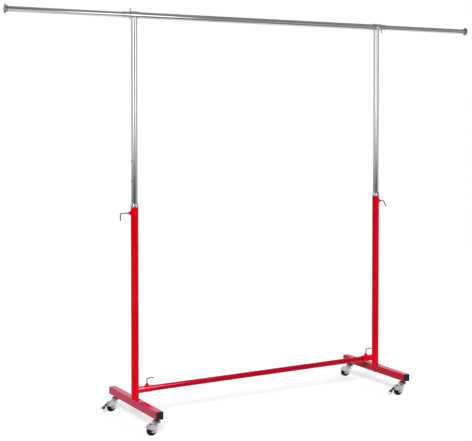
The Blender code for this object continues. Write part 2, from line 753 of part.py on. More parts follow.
def make_stem(name, at, finishes):
    """The pin that the caster swivels on, with the stud that screws into the foot."""
    pin, collar, stud = STEM_D / 2, STEM_COLLAR_D / 2, STUD_D / 2
    pin_low = WHEEL_RADIUS + NECK_BORE_FLOOR + FIT
    collar_low = CAP_TOP + FIT
    collar_high = FOOT_BOTTOM - FIT
    profile = [
        (pin, pin_low),
        (pin, collar_low),
        (collar - ROD_CHAMFER, collar_low),
        (collar, collar_low + ROD_CHAMFER),
        (collar, collar_high),
        (stud, collar_high),
        (stud, FOOT_BOTTOM + STUD_LENGTH - ROD_CHAMFER),
        (stud - ROD_CHAMFER, FOOT_BOTTOM + STUD_LENGTH),
    ]
    add(f"{name}_caster_stem", turned(profile, SMALL_SIDES), finishes["steel"], at)


def make_axle(name, swivel, finishes):
    """The riveted axle through the cheeks and the hub."""
    shank, head = AXLE_D / 2, AXLE_HEAD_D / 2
    inner = FORK_HALF + FIT
    half = [
        (shank, inner),
        (head, inner),
        (head, inner + AXLE_HEAD / 2),
        (head / 2, inner + AXLE_HEAD),
    ]
    profile = [(radius, -reach) for radius, reach in reversed(half)] + half
    axle_at = (-CASTER_TRAIL, 0.0, WHEEL_RADIUS)
    mesh = turned(profile, ROD_SIDES, ALONG_Y)
    add(f"{name}_caster_axle", mesh, finishes["steel"], axle_at, swivel)


def make_wheel(name, wheel, finishes):
    """The hub and its tyre; a flat of the tyre rests on the floor."""
    bore = AXLE_D / 2 + TURNING_FIT
    half = HUB_WIDTH / 2
    half_profile = [
        (HUB_BOSS_RADIUS, half),
        (HUB_BOSS_RADIUS + HUB_DISH, half - HUB_DISH),
        (HUB_RADIUS - HUB_DISH, half - HUB_DISH),
        (HUB_RADIUS, half - HUB_DISH / 2),
    ]
    profile = [(bore, -half)] + [(radius, -reach) for radius, reach in half_profile]
    profile += list(reversed(half_profile)) + [(bore, half)]
    hub = turned(profile, WHEEL_SIDES, ALONG_Y, closed=True)
    add(f"{name}_caster_hub", hub, finishes["hub"], parent=wheel)
    to_corner = 1.0 / math.cos(math.pi / WHEEL_SIDES)
    seat = (HUB_RADIUS + FIT) * to_corner
    tread = WHEEL_RADIUS * to_corner
    half = WHEEL_WIDTH / 2
    half_profile = [
        (seat, half - WHEEL_CROWN / 2),
        (tread - WHEEL_CROWN, half),
        (tread - WHEEL_CROWN / 4, half - WHEEL_CROWN / 2),
        (tread, half - WHEEL_CROWN),
    ]
    profile = [(radius, -reach) for radius, reach in half_profile]
    profile += list(reversed(half_profile))
    tyre = turned(profile, WHEEL_SIDES, ALONG_Y, closed=True)
    add(f"{name}_caster_tyre", tyre, finishes["tyre"], parent=wheel)


def make_pedal(name, swivel, finishes):
    """The stamped brake lever, with its barrel and pin at the trailing end of the hood."""
    pivot = joint_frame(f"{name}_pedal_pivot", pedal_place(), swivel)
    half = PEDAL_SHEET / 2
    stations = [
        (0.0, 0.0, PEDAL_ROOT_WIDTH),
        (PEDAL_ROOT, -PEDAL_SHEET, PEDAL_ROOT_WIDTH),
        (PEDAL_BEND, -PEDAL_BEND_DROP, PEDAL_WIDTH),
        (PEDAL_LENGTH - PEDAL_LIP, -PEDAL_DROP, PEDAL_WIDTH),
        (PEDAL_LENGTH, PEDAL_LIP_RISE - PEDAL_DROP, PEDAL_WIDTH - PEDAL_LIP_RISE),
    ]
    loops = []
    for out, up, width in stations:
        corners = ((-1, -1), (1, -1), (1, 1), (-1, 1))
        loops.append([Vector((-out, a * width / 2, up + b * half)) for a, b in corners])
    pedal = add(f"{name}_brake_pedal", loft(loops), finishes["chrome"], parent=pivot)
    barrel_half = SLOT_HALF - FIT
    barrel = rod(PEDAL_BARREL_D, -barrel_half, barrel_half, SMALL_SIDES, ALONG_Y)
    combine(pedal, "UNION", barrel)
    combine(pedal, "UNION", rod(PEDAL_PIN_D, -FORK_HALF, FORK_HALF, ROD_SIDES, ALONG_Y))


def make_casters(finishes):
    """The four swivel casters, all trailing the same way; two of them have a brake."""
    for side, side_sign in SIDES.items():
        for end, end_sign in ENDS.items():
            name = f"{side}_{end}"
            at = (side_sign * POST_X, end_sign * CASTER_Y, 0.0)
            turn = math.radians(CASTER_TURN[side, end])
            swivel = joint_frame(f"{name}_swivel", at, turn=turn)
            wheel_at = (-CASTER_TRAIL, 0.0, WHEEL_RADIUS)
            wheel = joint_frame(f"{name}_wheel_axis", wheel_at, swivel)
            braked = (side, end) in BRAKED
            make_stem(name, at, finishes)
            make_fork(name, swivel, braked, finishes)
            make_swivel_cap(name, swivel, finishes)
            make_axle(name, swivel, finishes)
            make_wheel(name, wheel, finishes)
            if braked:
                make_pedal(name, swivel, finishes)


def main():
    """Builds the whole rack."""
    clear_scene()
    finishes = {
        "red": finish("red_enamel", (0.66, 0.005, 0.02), 0.22, 0.0, coat=0.6),
        "chrome": finish("chrome_plate", (0.78, 0.78, 0.80), 0.08, 1.0),
        "steel": finish("dark_zinc", (0.22, 0.22, 0.24), 0.35, 1.0),
        "plastic": finish("black_plastic", (0.014, 0.014, 0.020), 0.35, 0.0),
        "hub": finish("hub_plastic", (0.03, 0.03, 0.035), 0.40, 0.0),
        "tyre": finish("tyre_rubber", (0.010, 0.010, 0.012), 0.55, 0.0),
    }
    make_base(finishes)
    frame = make_sliding_frame(finishes)
    make_screws(frame, finishes)
    make_casters(finishes)


main()
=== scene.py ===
"""Dresses the rolling garment rack.

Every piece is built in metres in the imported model's own frame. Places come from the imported
nodes and joints, and sizes are the fields of the class that builds the piece. The rack is made
of two feet with uprights, a crossbar, a sliding frame with its hangrail and two pull-out arms,
six clamp screws and four casters.
"""

import json
import logging
import math
from dataclasses import dataclass, field, replace
from enum import Enum
from typing import Any, Iterable, Mapping, Sequence

import bmesh
import bpy
from mathutils import Matrix, Vector

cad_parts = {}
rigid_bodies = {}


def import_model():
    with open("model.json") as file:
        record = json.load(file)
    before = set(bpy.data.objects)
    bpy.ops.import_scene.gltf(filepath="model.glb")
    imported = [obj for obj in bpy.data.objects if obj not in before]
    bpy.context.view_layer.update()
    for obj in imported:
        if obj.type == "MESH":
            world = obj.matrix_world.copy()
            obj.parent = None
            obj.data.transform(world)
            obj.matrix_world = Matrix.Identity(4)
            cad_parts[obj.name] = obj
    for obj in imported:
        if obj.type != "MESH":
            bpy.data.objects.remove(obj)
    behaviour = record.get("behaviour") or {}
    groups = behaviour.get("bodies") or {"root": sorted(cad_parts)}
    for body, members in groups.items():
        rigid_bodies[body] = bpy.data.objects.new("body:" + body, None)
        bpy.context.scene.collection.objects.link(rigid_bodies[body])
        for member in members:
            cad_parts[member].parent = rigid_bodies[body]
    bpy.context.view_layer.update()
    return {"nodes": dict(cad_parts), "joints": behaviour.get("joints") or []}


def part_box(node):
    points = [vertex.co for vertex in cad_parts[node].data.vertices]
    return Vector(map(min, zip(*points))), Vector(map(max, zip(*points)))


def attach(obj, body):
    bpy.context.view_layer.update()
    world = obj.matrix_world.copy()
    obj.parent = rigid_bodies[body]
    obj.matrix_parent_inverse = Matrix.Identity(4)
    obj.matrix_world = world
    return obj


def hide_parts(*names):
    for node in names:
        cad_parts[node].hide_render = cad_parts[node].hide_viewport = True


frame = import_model()

LOG = logging.getLogger("garment_rack")
TUBE_SIDES = 72
ROD_SIDES = 24
FINE_ROD_SIDES = 36
TURNED_SIDES = 48
WHEEL_SIDES = 80
BOSS_SIDES = 64
SADDLE_SIDES = 80
HOOD_SIDES = 96
SCOOP_SIDES = 64
CREASE = math.radians(32.0)
RIGHT_ANGLE = math.pi / 2
NEARLY_STRAIGHT = math.pi - 0.02
LARGEST_SHARE = 0.49
POLE_RADIUS = 1e-7
FACE_ON = 0.97
NODE_STEP = 190.0
NODES_IN_ROW = 9
THROUGH = 0.03
SADDLE_REACH = 0.04
FIT = 0.0003
RUNNING_FIT = 0.0004
ON_WALL = 2e-5
BEAD_SPREAD = 1.03
FLOAT, COLOUR = "NodeSocketFloat", "NodeSocketColor"

Mesh = bpy.types.Mesh
Material = bpy.types.Material
NodeTree = bpy.types.NodeTree
Socket = bpy.types.NodeSocket
Pair = tuple[float, float]
Outline = list[Pair]
Values = Mapping[str, Any]
Triple = tuple[float, float, float]


def quarter(sign: float, axis: str) -> Matrix:
    """A quarter turn round an axis, forwards or back."""
    return Matrix.Rotation(sign * RIGHT_ANGLE, 4, axis)


UPWARDS = Matrix.Identity(4)
ALONG_X = quarter(1.0, "Y")
ALONG_Y = quarter(-1.0, "X")


# Named options ----


class Side(Enum):
    """One end of the rack."""

    LEFT = "left"
    RIGHT = "right"

    @property
    def sign(self) -> float:
        """-1 at the left end and 1 at the right end."""
        return -1.0 if self is Side.LEFT else 1.0


class End(Enum):
    """One end of a foot."""

    FRONT = "front"
    REAR = "rear"

    @property
    def sign(self) -> float:
        """-1 at the front and 1 at the rear."""
        return -1.0 if self is End.FRONT else 1.0


class Slot(Enum):
    """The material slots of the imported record."""

    RED_ENAMEL = "red_enamel"
    CHROME = "chrome_plate"
    ZINC = "dark_zinc"
    PLASTIC = "black_plastic"
    HUB = "hub_plastic"
    TYRE = "tyre_rubber"


class Grain(Enum):
    """The direction that a finish's fine lines run in."""

    ALONG_X = (0.06, 1.0, 1.0)
    ALONG_Y = (1.0, 0.06, 1.0)
    ALONG_Z = (1.0, 1.0, 0.06)
    NONE = (1.0, 1.0, 1.0)


# Mesh making ----


def at(x: float, y: float, z: float) -> Matrix:
    """A move to a place."""
    return Matrix.Translation((x, y, z))


def axes(across: Sequence[float], along: Sequence[float]) -> Matrix:
    """The turn that takes X to across and Z to along."""
    third = Vector(along).normalized()
    first = Vector(across).normalized()
    return Matrix((first, third.cross(first), third)).transposed().to_4x4()


def softened(corners: Sequence[Triple], steps: int = 4) -> Outline:
    """Rounds the corners of a closed outline.

    Args:
        corners: (across, along, rounding) of each corner, in order round the outline.
        steps: segments in each rounding.

    Returns:
        The outline's points.
    """
    points: Outline = []
    for index, (across, along, rounding) in enumerate(corners):
        here = Vector((across, along))
        before = Vector(corners[index - 1][:2]) - here
        after = Vector(corners[(index + 1) % len(corners)][:2]) - here
        opening = before.angle(after)
        if rounding <= 0.0 or opening > NEARLY_STRAIGHT:
            points.append((across, along))
            continue
        slope = math.tan(opening / 2)
        reach = min(rounding / slope, LARGEST_SHARE * min(before.length, after.length))
        bisector = (before.normalized() + after.normalized()).normalized()
        centre = here + bisector * (reach * slope / math.sin(opening / 2))
        start = here + before.normalized() * reach - centre
        end = here + after.normalized() * reach - centre
        sweep = math.atan2(start.x * end.y - start.y * end.x, start.dot(end))
        for step in range(steps + 1):
            cos, sin = math.cos(sweep * step / steps), math.sin(sweep * step / steps)
            across_now = centre.x + start.x * cos - start.y * sin
            points.append((across_now, centre.y + start.x * sin + start.y * cos))
    return points


def arc(
    centre: Pair, across: float, along: float, start: float, end: float, steps: int
) -> Outline:
    """Part of an ellipse.

    Args:
        centre: its middle.
        across: its first half axis.
        along: its second half axis.
        start: the first angle, from the first axis.
        end: the last angle.
        steps: segments between them.

    Returns:
        The points, both ends included.
    """
    turns = [start + (end - start) * step / steps for step in range(steps + 1)]
    return [(centre[0] + across * math.cos(a), centre[1] + along * math.sin(a)) for a in turns]


def both_ends(upper: Sequence[tuple[float, ...]]) -> list[tuple[float, ...]]:
    """The upper half of an outline with its mirror image before it."""
    return [(across, -along, *rest) for across, along, *rest in reversed(upper)] + list(upper)


def circle(radius: float, height: float, sides: int, across: float | None = None) -> list[Vector]:
    """Points round the Z axis, on an ellipse where across is given; one point for no radius."""
    if radius < POLE_RADIUS:
        return [Vector((0.0, 0.0, height))]
    second = radius if across is None else across
    steps = [math.tau * index / sides for index in range(sides)]
    return [Vector((radius * math.cos(a), second * math.sin(a), height)) for a in steps]


def rounded_square(half: float, corner: float, height: float, steps: int = 8) -> list[Vector]:
    """Points of a square with rounded corners, at a height on the Z axis."""
    corners = [(half, half), (-half, half), (-half, -half), (half, -half)]
    outline = softened([(x, y, corner) for x, y in corners], steps)
    return [Vector((x, y, height)) for x, y in outline]


def skinned(loops: Sequence[Sequence[Vector]], turn: Matrix = UPWARDS, closed: bool = False) -> Mesh:
    """Skins a run of loops.

    Args:
        loops: loops of one common length, or single points that close a pole.
        turn: matrix applied to the finished shape.
        closed: joins the last loop to the first, otherwise both ends are capped.

    Returns:
        A closed mesh with outward faces.
    """
    shape = bmesh.new()
    rows = [[shape.verts.new(point) for point in loop] for loop in loops]
    count = max(len(row) for row in rows)
    uppers = rows[1:] + rows[:1] if closed else rows[1:]
    for lower, upper in zip(rows, uppers):
        for index in range(count):
            after = index + 1
            corners = [(lower, index), (lower, after), (upper, after), (upper, index)]
            unique = list(dict.fromkeys(row[place % len(row)] for row, place in corners))
            if len(unique) > 2:
                shape.faces.new(unique)
    if not closed:
        for row in (rows[0], rows[-1]):
            if len(row) > 2:
                shape.faces.new(row)
    shape.transform(turn)
    bmesh.ops.recalc_face_normals(shape, faces=shape.faces)
    mesh = bpy.data.meshes.new("shape")
    shape.to_mesh(mesh)
    shape.free()
    return mesh


def turned(
    profile: Outline, sides: int = TUBE_SIDES, turn: Matrix = UPWARDS, closed: bool = False
) -> Mesh:
    """A body of revolution from (radius, height) points; closed joins its last point to its first."""
    return skinned([circle(radius, height, sides) for radius, height in profile], turn, closed)


def rod(
    diameter: float, low: float, high: float, sides: int = ROD_SIDES, turn: Matrix = UPWARDS
) -> Mesh:
    """A plain round bar between two heights, used as a cutter."""
    return turned([(diameter / 2, low), (diameter / 2, high)], sides, turn)


def swept_rod(stations: Sequence[tuple[Vector, float, float]], sides: int = ROD_SIDES) -> Mesh:
    """A round bar along a path in the XZ plane.

    Args:
        stations: (centre, tilt from the Z axis towards X, radius) along the path.
        sides: points round the bar.

    Returns:
        A closed mesh.
    """
    loops = []
    for centre, tilt, radius in stations:
        lean = Matrix.Rotation(tilt, 3, "Y")
        loops.append([centre + lean @ point for point in circle(radius, 0.0, sides)])
    return skinned(loops)


def inset(outline: Outline, amount: float) -> Outline:
    """Moves every point of a counter-clockwise outline inwards by an amount."""
    result: Outline = []
    for index, point in enumerate(outline):
        here = Vector(point)
        first = (here - Vector(outline[index - 1])).normalized()
        second = (Vector(outline[(index + 1) % len(outline)]) - here).normalized()
        normal = Vector((-first.y - second.y, first.x + second.x)).normalized()
        spread = max(0.5, normal.dot(Vector((-first.y, first.x))))
        result.append(tuple(here + normal * amount / spread))
    return result


def pressed_plate(outline: Outline, half: float, rounding: float, steps: int = 4) -> Mesh:
    """A plate with rounded rims, its outline in the XZ plane and its thickness along Y.

    Args:
        outline: counter-clockwise (x, z) points.
        half: half the thickness.
        rounding: radius of both rims.
        steps: segments in each rim.

    Returns:
        A closed mesh.
    """
    rims = []
    for step in range(steps + 1):
        angle = RIGHT_ANGLE * step / steps
        across = half - rounding * (1.0 - math.cos(angle))
        rims.append((across, inset(outline, rounding * (1.0 - math.sin(angle)))))
    levels = [(-across, rim) for across, rim in rims] + rims[::-1]
    return skinned([[Vector((x, across, z)) for x, z in rim] for across, rim in levels])


def merged(meshes: Iterable[Mesh]) -> Mesh:
    """One mesh that holds several, which are then removed."""
    shape = bmesh.new()
    for mesh in meshes:
        shape.from_mesh(mesh)
        bpy.data.meshes.remove(mesh)
    mesh = bpy.data.meshes.new("shape")
    shape.to_mesh(mesh)
    shape.free()
    return mesh


def placed(name: str, data: Any) -> bpy.types.Object:
    """A new object in the scene."""
    thing = bpy.data.objects.new(name, data)
    bpy.context.scene.collection.objects.link(thing)
    return thing


def settled(holder: bpy.types.Object) -> Mesh:
    """The plain mesh that an object's modifiers give; the object is removed, its own mesh stays."""
    graph = bpy.context.evaluated_depsgraph_get()
    mesh = bpy.data.meshes.new_from_object(holder.evaluated_get(graph), depsgraph=graph)
    bpy.data.objects.remove(holder)
    return mesh


def worked(blank: Mesh, cutters: Sequence[Mesh], fused: Sequence[Mesh] = ()) -> Mesh:
    """Fuses solids to a blank and then cuts others from it.

    Args:
        blank: the first solid.
        cutters: the solids that are cut away, in order.
        fused: the solids that are added, in order.

    Returns:
        The finished mesh; the blank and the other solids are removed.
    """
    holder = placed("blank", blank)
    helpers = [placed("helper", mesh) for mesh in (*fused, *cutters)]
    for index, helper in enumerate(helpers):
        modifier = holder.modifiers.new("solid", "BOOLEAN")
        modifier.operation = "UNION" if index < len(fused) else "DIFFERENCE"
        modifier.solver = "EXACT"
        modifier.object = helper
    result = settled(holder)
    for helper in helpers:
        bpy.data.objects.remove(helper)
    for mesh in (blank, *fused, *cutters):
        bpy.data.meshes.remove(mesh)
    result.materials.clear()
    return result


def moved(mesh: Mesh, *turns: Matrix) -> Mesh:
    """Applies matrices to a mesh, the last one first, and returns it."""
    for turn in reversed(turns):
        mesh.transform(turn)
    return mesh


@dataclass(frozen=True)
class Wall:
    """A round wall of a piece: the place whose Z axis it lies round, and its radii."""

    place: Matrix
    radii: tuple[float, ...]

    def true_normals(self, corners: Sequence[Vector], facing: Vector) -> list[Vector] | None:
        """The wall's exact normals at the corners of a face.

        Args:
            corners: the face's corners.
            facing: the face's own normal.

        Returns:
            One normal for each corner, or None where the face is not part of the wall.
        """
        inverse, turn = self.place.inverted(), self.place.to_3x3()
        inner = [inverse @ corner for corner in corners]
        lengths = [math.hypot(point.x, point.y) for point in inner]
        for radius in self.radii:
            if all(abs(length - radius) < ON_WALL for length in lengths):
                rays = [(turn @ Vector((p.x, p.y, 0.0))).normalized() for p in inner]
                side = facing.dot(sum(rays, Vector()).normalized())
                if abs(side) > FACE_ON:
                    return [ray if side > 0 else -ray for ray in rays]
        return None


def shaded(mesh: Mesh, walls: Sequence[Wall]) -> Mesh:
    """Gives a mesh smooth shading that large flat faces and round walls keep true.

    Args:
        mesh: the mesh, which is replaced.
        walls: its round walls.

    Returns:
        The shaded mesh.
    """
    mesh.shade_smooth()
    mesh.set_sharp_from_angle(angle=CREASE)
    holder = placed("shading", mesh)
    holder.modifiers.new("weighting", "WEIGHTED_NORMAL").keep_sharp = True
    result = settled(holder)
    bpy.data.meshes.remove(mesh)
    if walls:
        normals = [Vector(corner.vector) for corner in result.corner_normals]
        for face in result.polygons:
            corners = [result.vertices[index].co for index in face.vertices]
            for wall in walls:
                exact = wall.true_normals(corners, face.normal)
                if exact:
                    for corner, normal in zip(face.loop_indices, exact):
                        normals[corner] = normal
                    break
        result.normals_split_custom_set(normals)
    return result


# Node trees ----


def add_inputs(tree: NodeTree, usual: Values) -> dict[str, str]:
    """Gives a node group its inputs.

    Args:
        tree: the group.
        usual: each input's name and usual value, which sets the type of its socket.

    Returns:
        The identifier of each input.
    """
    identifiers = {}
    for label, value in usual.items():
        if isinstance(value, (int, float)):
            kind = "NodeSocketInt" if isinstance(value, int) else FLOAT
        else:
            kind = "NodeSocketVector" if len(value) == 3 else COLOUR
        socket = tree.interface.new_socket(name=label, in_out="INPUT", socket_type=kind)
        socket.default_value = value
        identifiers[label] = socket.identifier
    return identifiers


class NodeSheet:
    """Short calls that add and join nodes in one node tree."""

    def __init__(self, tree: NodeTree) -> None:
        """Keeps the tree that the nodes go into."""
        self.tree = tree

    @classmethod
    def fresh(cls, owner: Material | bpy.types.World) -> "NodeSheet":
        """The emptied node tree of a material or a world."""
        owner.use_nodes = True
        owner.node_tree.nodes.clear()
        return cls(owner.node_tree)

    def add(self, kind: str, values: Values | None = None, **settings: Any) -> bpy.types.Node:
        """Adds a node.

        Args:
            kind: Blender's name for the node.
            values: for each input's name, a plain value or the socket that feeds it.
            settings: properties of the node itself.

        Returns:
            The node.
        """
        node = self.tree.nodes.new(kind)
        row, column = divmod(len(self.tree.nodes), NODES_IN_ROW)
        node.location = (NODE_STEP * column, -NODE_STEP * row)
        for name, value in settings.items():
            setattr(node, name, value)
        for name, value in (values or {}).items():
            self.feed(node.inputs[name], value)
        return node

    def out(
        self, kind: str, values: Values | None = None, output: int | str = 0, **settings: Any
    ) -> Socket:
        """One output of a new node, which takes what add takes."""
        return self.add(kind, values, **settings).outputs[output]

    def joined(self, kind: str, *values: Any, **settings: Any) -> Socket:
        """The output of a new node whose inputs are fed in order."""
        node = self.add(kind, **settings)
        for socket, value in zip(node.inputs, values):
            self.feed(socket, value)
        return node.outputs[0]

    def feed(self, target: Socket, value: Any) -> None:
        """Joins a socket to an input, or sets the input to a plain value."""
        if isinstance(value, Socket):
            self.tree.links.new(value, target)
        else:
            target.default_value = value

    def end(self, kind: str, value: Socket) -> None:
        """Adds the tree's last node and feeds its first input."""
        self.feed(self.add(kind).inputs[0], value)

    def math(self, operation: str, first: Any, second: Any = 0.0) -> Socket:
        """The result of an operation on two values."""
        return self.joined("ShaderNodeMath", first, second, operation=operation)

    def times(self, first: Any, second: Any) -> Socket:
        """The product of two values."""
        return self.math("MULTIPLY", first, second)

    def ranged(
        self, value: Any, low: float, high: float, to_low: float = 0.0, to_high: float = 1.0
    ) -> Socket:
        """A value carried smoothly from one range to another."""
        ends = {"From Min": low, "From Max": high, "To Min": to_low, "To Max": to_high}
        kind = {"interpolation_type": "SMOOTHSTEP"}
        return self.out("ShaderNodeMapRange", {"Value": value, **ends}, "Result", **kind)

    def mixed(self, share: Any, first: Any, second: Any) -> Socket:
        """A colour between two others."""
        node = self.add("ShaderNodeMix", data_type="RGBA", clamp_factor=True)
        for place, value in ((0, share), (6, first), (7, second)):
            self.feed(node.inputs[place], value)
        return node.outputs[2]

    def blend(self, share: Socket, first: Socket, second: Socket) -> Socket:
        """A shader between two others."""
        return self.joined("ShaderNodeMixShader", share, first, second)

    def split(self, vector: Socket) -> bpy.types.NodeOutputs:
        """The X, Y and Z of a vector."""
        return self.add("ShaderNodeSeparateXYZ", {"Vector": vector}).outputs

    def place(self, stretch: Any = None) -> Socket:
        """The piece's own coordinates, stretched along its axes where that is asked for."""
        own = self.out("ShaderNodeTexCoord", output="Object")
        if stretch is None:
            return own
        return self.out("ShaderNodeMapping", {"Vector": own, "Scale": stretch})

    def noise(self, place: Socket, scale: Any, detail: Any, **more: float) -> Socket:
        """Fractal noise over a place."""
        values = {"Vector": place, "Scale": scale, "Detail": detail, **more}
        return self.out("ShaderNodeTexNoise", values, "Fac")


class GeometryRecipe:
    """A Geometry Nodes tree built here, and run once for each mesh that it makes."""

    def __init__(self, name: str, usual: Values) -> None:
        """Starts the tree.

        Args:
            name: the tree's name.
            usual: the name and the usual value of each size.
        """
        self.tree = bpy.data.node_groups.new(name, "GeometryNodeTree")
        self.tree.is_modifier = True
        self.sheet = NodeSheet(self.tree)
        new_socket = self.tree.interface.new_socket
        new_socket(name="Blank", in_out="INPUT", socket_type="NodeSocketGeometry")
        self.identifiers = add_inputs(self.tree, usual)
        finish = new_socket(name="Finish", in_out="INPUT", socket_type="NodeSocketMaterial")
        self.identifiers["Finish"] = finish.identifier
        new_socket(name="Piece", in_out="OUTPUT", socket_type="NodeSocketGeometry")
        self.given = self.sheet.add("NodeGroupInput").outputs

    def close(self, geometry: Socket) -> None:
        """Ends the tree with real geometry in its finish."""
        real = self.sheet.out("GeometryNodeRealizeInstances", {"Geometry": geometry})
        values = {"Geometry": real, "Material": self.given["Finish"]}
        self.sheet.end("NodeGroupOutput", self.sheet.out("GeometryNodeSetMaterial", values))

    def sweep(self, path: Socket, sides: Any, radius: Any, more: Values) -> None:
        """Ends the tree with a round section swept along a path."""
        ring = {"Resolution": sides, "Radius": radius}
        section = self.sheet.out("GeometryNodeCurvePrimitiveCircle", ring)
        values = {"Curve": path, "Profile Curve": section, **more}
        self.close(self.sheet.out("GeometryNodeCurveToMesh", values))

    def make(self, finish: Material, sizes: Values, blank: Mesh | None = None) -> Mesh:
        """Runs the tree.

        Args:
            finish: the material that the tree sets.
            sizes: values of the named inputs.
            blank: the mesh that the tree works on, if it takes one.

        Returns:
            A plain mesh.
        """
        start = blank or bpy.data.meshes.new("blank")
        holder = placed("recipe", start)
        modifier = holder.modifiers.new(self.tree.name, "NODES")
        modifier.node_group = self.tree
        for label, value in {**sizes, "Finish": finish}.items():
            modifier[self.identifiers[label]] = value
        mesh = settled(holder)
        bpy.data.meshes.remove(start)
        return mesh


class TubeRecipe(GeometryRecipe):
    """A round tube about the Z axis, middle at the origin, with eased rims."""

    def __init__(self) -> None:
        """Sweeps a filleted strip of wall round a circle."""
        sizes = {"Length": 1.0, "Outer Radius": 0.02, "Wall": 0.0015, "Rim": 0.0004}
        super().__init__("round_tube", {**sizes, "Sides": TUBE_SIDES})
        sheet, given = self.sheet, self.given
        middle = sheet.math("SUBTRACT", given["Outer Radius"], sheet.times(given["Wall"], 0.5))
        ring = {"Resolution": given["Sides"], "Radius": middle}
        path = sheet.out("GeometryNodeCurvePrimitiveCircle", ring)
        section = {"Width": given["Wall"], "Height": given["Length"]}
        strip = sheet.out("GeometryNodeCurvePrimitiveQuadrilateral", section)
        rims = {"Curve": strip, "Count": 3, "Radius": given["Rim"]}
        eased = sheet.out("GeometryNodeFilletCurve", rims, mode="POLY")
        self.close(sheet.out("GeometryNodeCurveToMesh", {"Curve": path, "Profile Curve": eased}))


class IndexHoleRecipe(GeometryRecipe):
    """A row of round holes through one wall of a tube, at a steady pitch up the Z axis."""

    def __init__(self) -> None:
        """Cuts a line of drills from the blank."""
        sizes = {"Pitch": 0.1, "First Height": 0.1, "Diameter": 0.009, "Depth": 0.03, "Facing": 1.0}
        super().__init__("index_holes", {"Count": 4, **sizes})
        sheet, given = self.sheet, self.given
        start, pitch = (
            sheet.out("ShaderNodeCombineXYZ", {"Z": given[size]})
            for size in ("First Height", "Pitch")
        )
        line = {"Count": given["Count"], "Start Location": start, "Offset": pitch}
        row = sheet.out("GeometryNodeMeshLine", line)
        radius = sheet.times(given["Diameter"], 0.5)
        bar = {"Vertices": FINE_ROD_SIDES, "Radius": radius, "Depth": given["Depth"]}
        drill = sheet.out("GeometryNodeMeshCylinder", bar)
        outwards = sheet.times(sheet.times(given["Depth"], 0.5), given["Facing"])
        away = sheet.out("ShaderNodeCombineXYZ", {"X": outwards})
        lying = {"Geometry": drill, "Translation": away, "Rotation": (0.0, RIGHT_ANGLE, 0.0)}
        laid = sheet.out("GeometryNodeTransform", lying)
        drills = sheet.out("GeometryNodeInstanceOnPoints", {"Points": row, "Instance": laid})
        real = sheet.out("GeometryNodeRealizeInstances", {"Geometry": drills})
        solids = {"Mesh 1": given["Blank"], "Mesh 2": real}
        how = {"operation": "DIFFERENCE", "solver": "EXACT"}
        self.close(sheet.out("GeometryNodeMeshBoolean", solids, **how))


class WeldBeadRecipe(GeometryRecipe):
    """A rippled bead of weld along a closed path."""

    def __init__(self) -> None:
        """Sweeps a round section whose size swells once for each ripple."""
        sizes = {"Radius": 0.0012, "Ripple Pitch": 0.0016, "Ripple": 0.16, "Section Sides": 10}
        super().__init__("weld_bead", sizes)
        sheet, given = self.sheet, self.given
        path = sheet.out("GeometryNodeMeshToCurve", {"Mesh": given["Blank"]})
        along = sheet.out("GeometryNodeSplineParameter", output="Length")
        turns = sheet.math("DIVIDE", along, given["Ripple Pitch"])
        wave = sheet.math("SINE", sheet.times(turns, math.tau))
        swell = sheet.math("ADD", sheet.times(wave, given["Ripple"]), 1.0)
        even = sheet.out("GeometryNodeSetCurveRadius", {"Curve": path, "Radius": 1.0})
        self.sweep(even, given["Section Sides"], given["Radius"], {"Scale": swell})


class ThreadRecipe(GeometryRecipe):
    """The ridge of a screw thread, wound up the Z axis from the origin."""

    def __init__(self) -> None:
        """Sweeps a small section along a helix."""
        sizes = {"Length": 0.03, "Pitch": 0.00125, "Root Radius": 0.0027, "Ridge": 0.0005}
        super().__init__("screw_thread", {**sizes, "Steps a Turn": 20})
        sheet, given = self.sheet, self.given
        helix = {
            "Resolution": given["Steps a Turn"],
            "Rotations": sheet.math("DIVIDE", given["Length"], given["Pitch"]),
            "Start Radius": given["Root Radius"],
            "End Radius": given["Root Radius"],
            "Height": given["Length"],
        }
        path = sheet.out("GeometryNodeCurveSpiral", helix)
        self.sweep(path, 4, given["Ridge"], {"Fill Caps": True})


class SpokeRecipe(GeometryRecipe):
    """Bars laid out like spokes round the Z axis, on both faces of a wheel's web."""

    def __init__(self) -> None:
        """Places one bar at each point of a circle, turned to face outwards."""
        sizes = {"Count": 8, "Ring Radius": 0.011, "Bar": (0.007, 0.0012, 0.0140)}
        super().__init__("hub_ribs", sizes)
        sheet, given = self.sheet, self.given
        ring = {"Vertices": given["Count"], "Radius": given["Ring Radius"]}
        points = sheet.out("GeometryNodeMeshCircle", ring)
        bar = sheet.out("GeometryNodeMeshCube", {"Size": given["Bar"]})
        share = sheet.math("DIVIDE", sheet.out("GeometryNodeInputIndex"), given["Count"])
        spin = sheet.out("ShaderNodeCombineXYZ", {"Z": sheet.times(share, math.tau)})
        spread = {"Points": points, "Instance": bar, "Rotation": spin}
        self.close(sheet.out("GeometryNodeInstanceOnPoints", spread))


class TreadRecipe(GeometryRecipe):
    """Raised grip bars across a pedal, at a steady pitch along the X axis."""

    def __init__(self) -> None:
        """Places round-topped bars on a line."""
        sizes = {"Offset": (0.003, 0.0, 0.0), "Bar Length": 0.018, "Bar Radius": 0.0008}
        super().__init__("pedal_grips", {"Count": 4, **sizes})
        sheet, given = self.sheet, self.given
        line = {"Count": given["Count"], "Offset": given["Offset"]}
        row = sheet.out("GeometryNodeMeshLine", line)
        round_bar = {"Vertices": 12, "Radius": given["Bar Radius"], "Depth": given["Bar Length"]}
        bar = sheet.out("GeometryNodeMeshCylinder", round_bar)
        lying = {"Geometry": bar, "Rotation": (RIGHT_ANGLE, 0.0, 0.0)}
        laid = sheet.out("GeometryNodeTransform", lying)
        self.close(sheet.out("GeometryNodeInstanceOnPoints", {"Points": row, "Instance": laid}))


# Shared effects ----


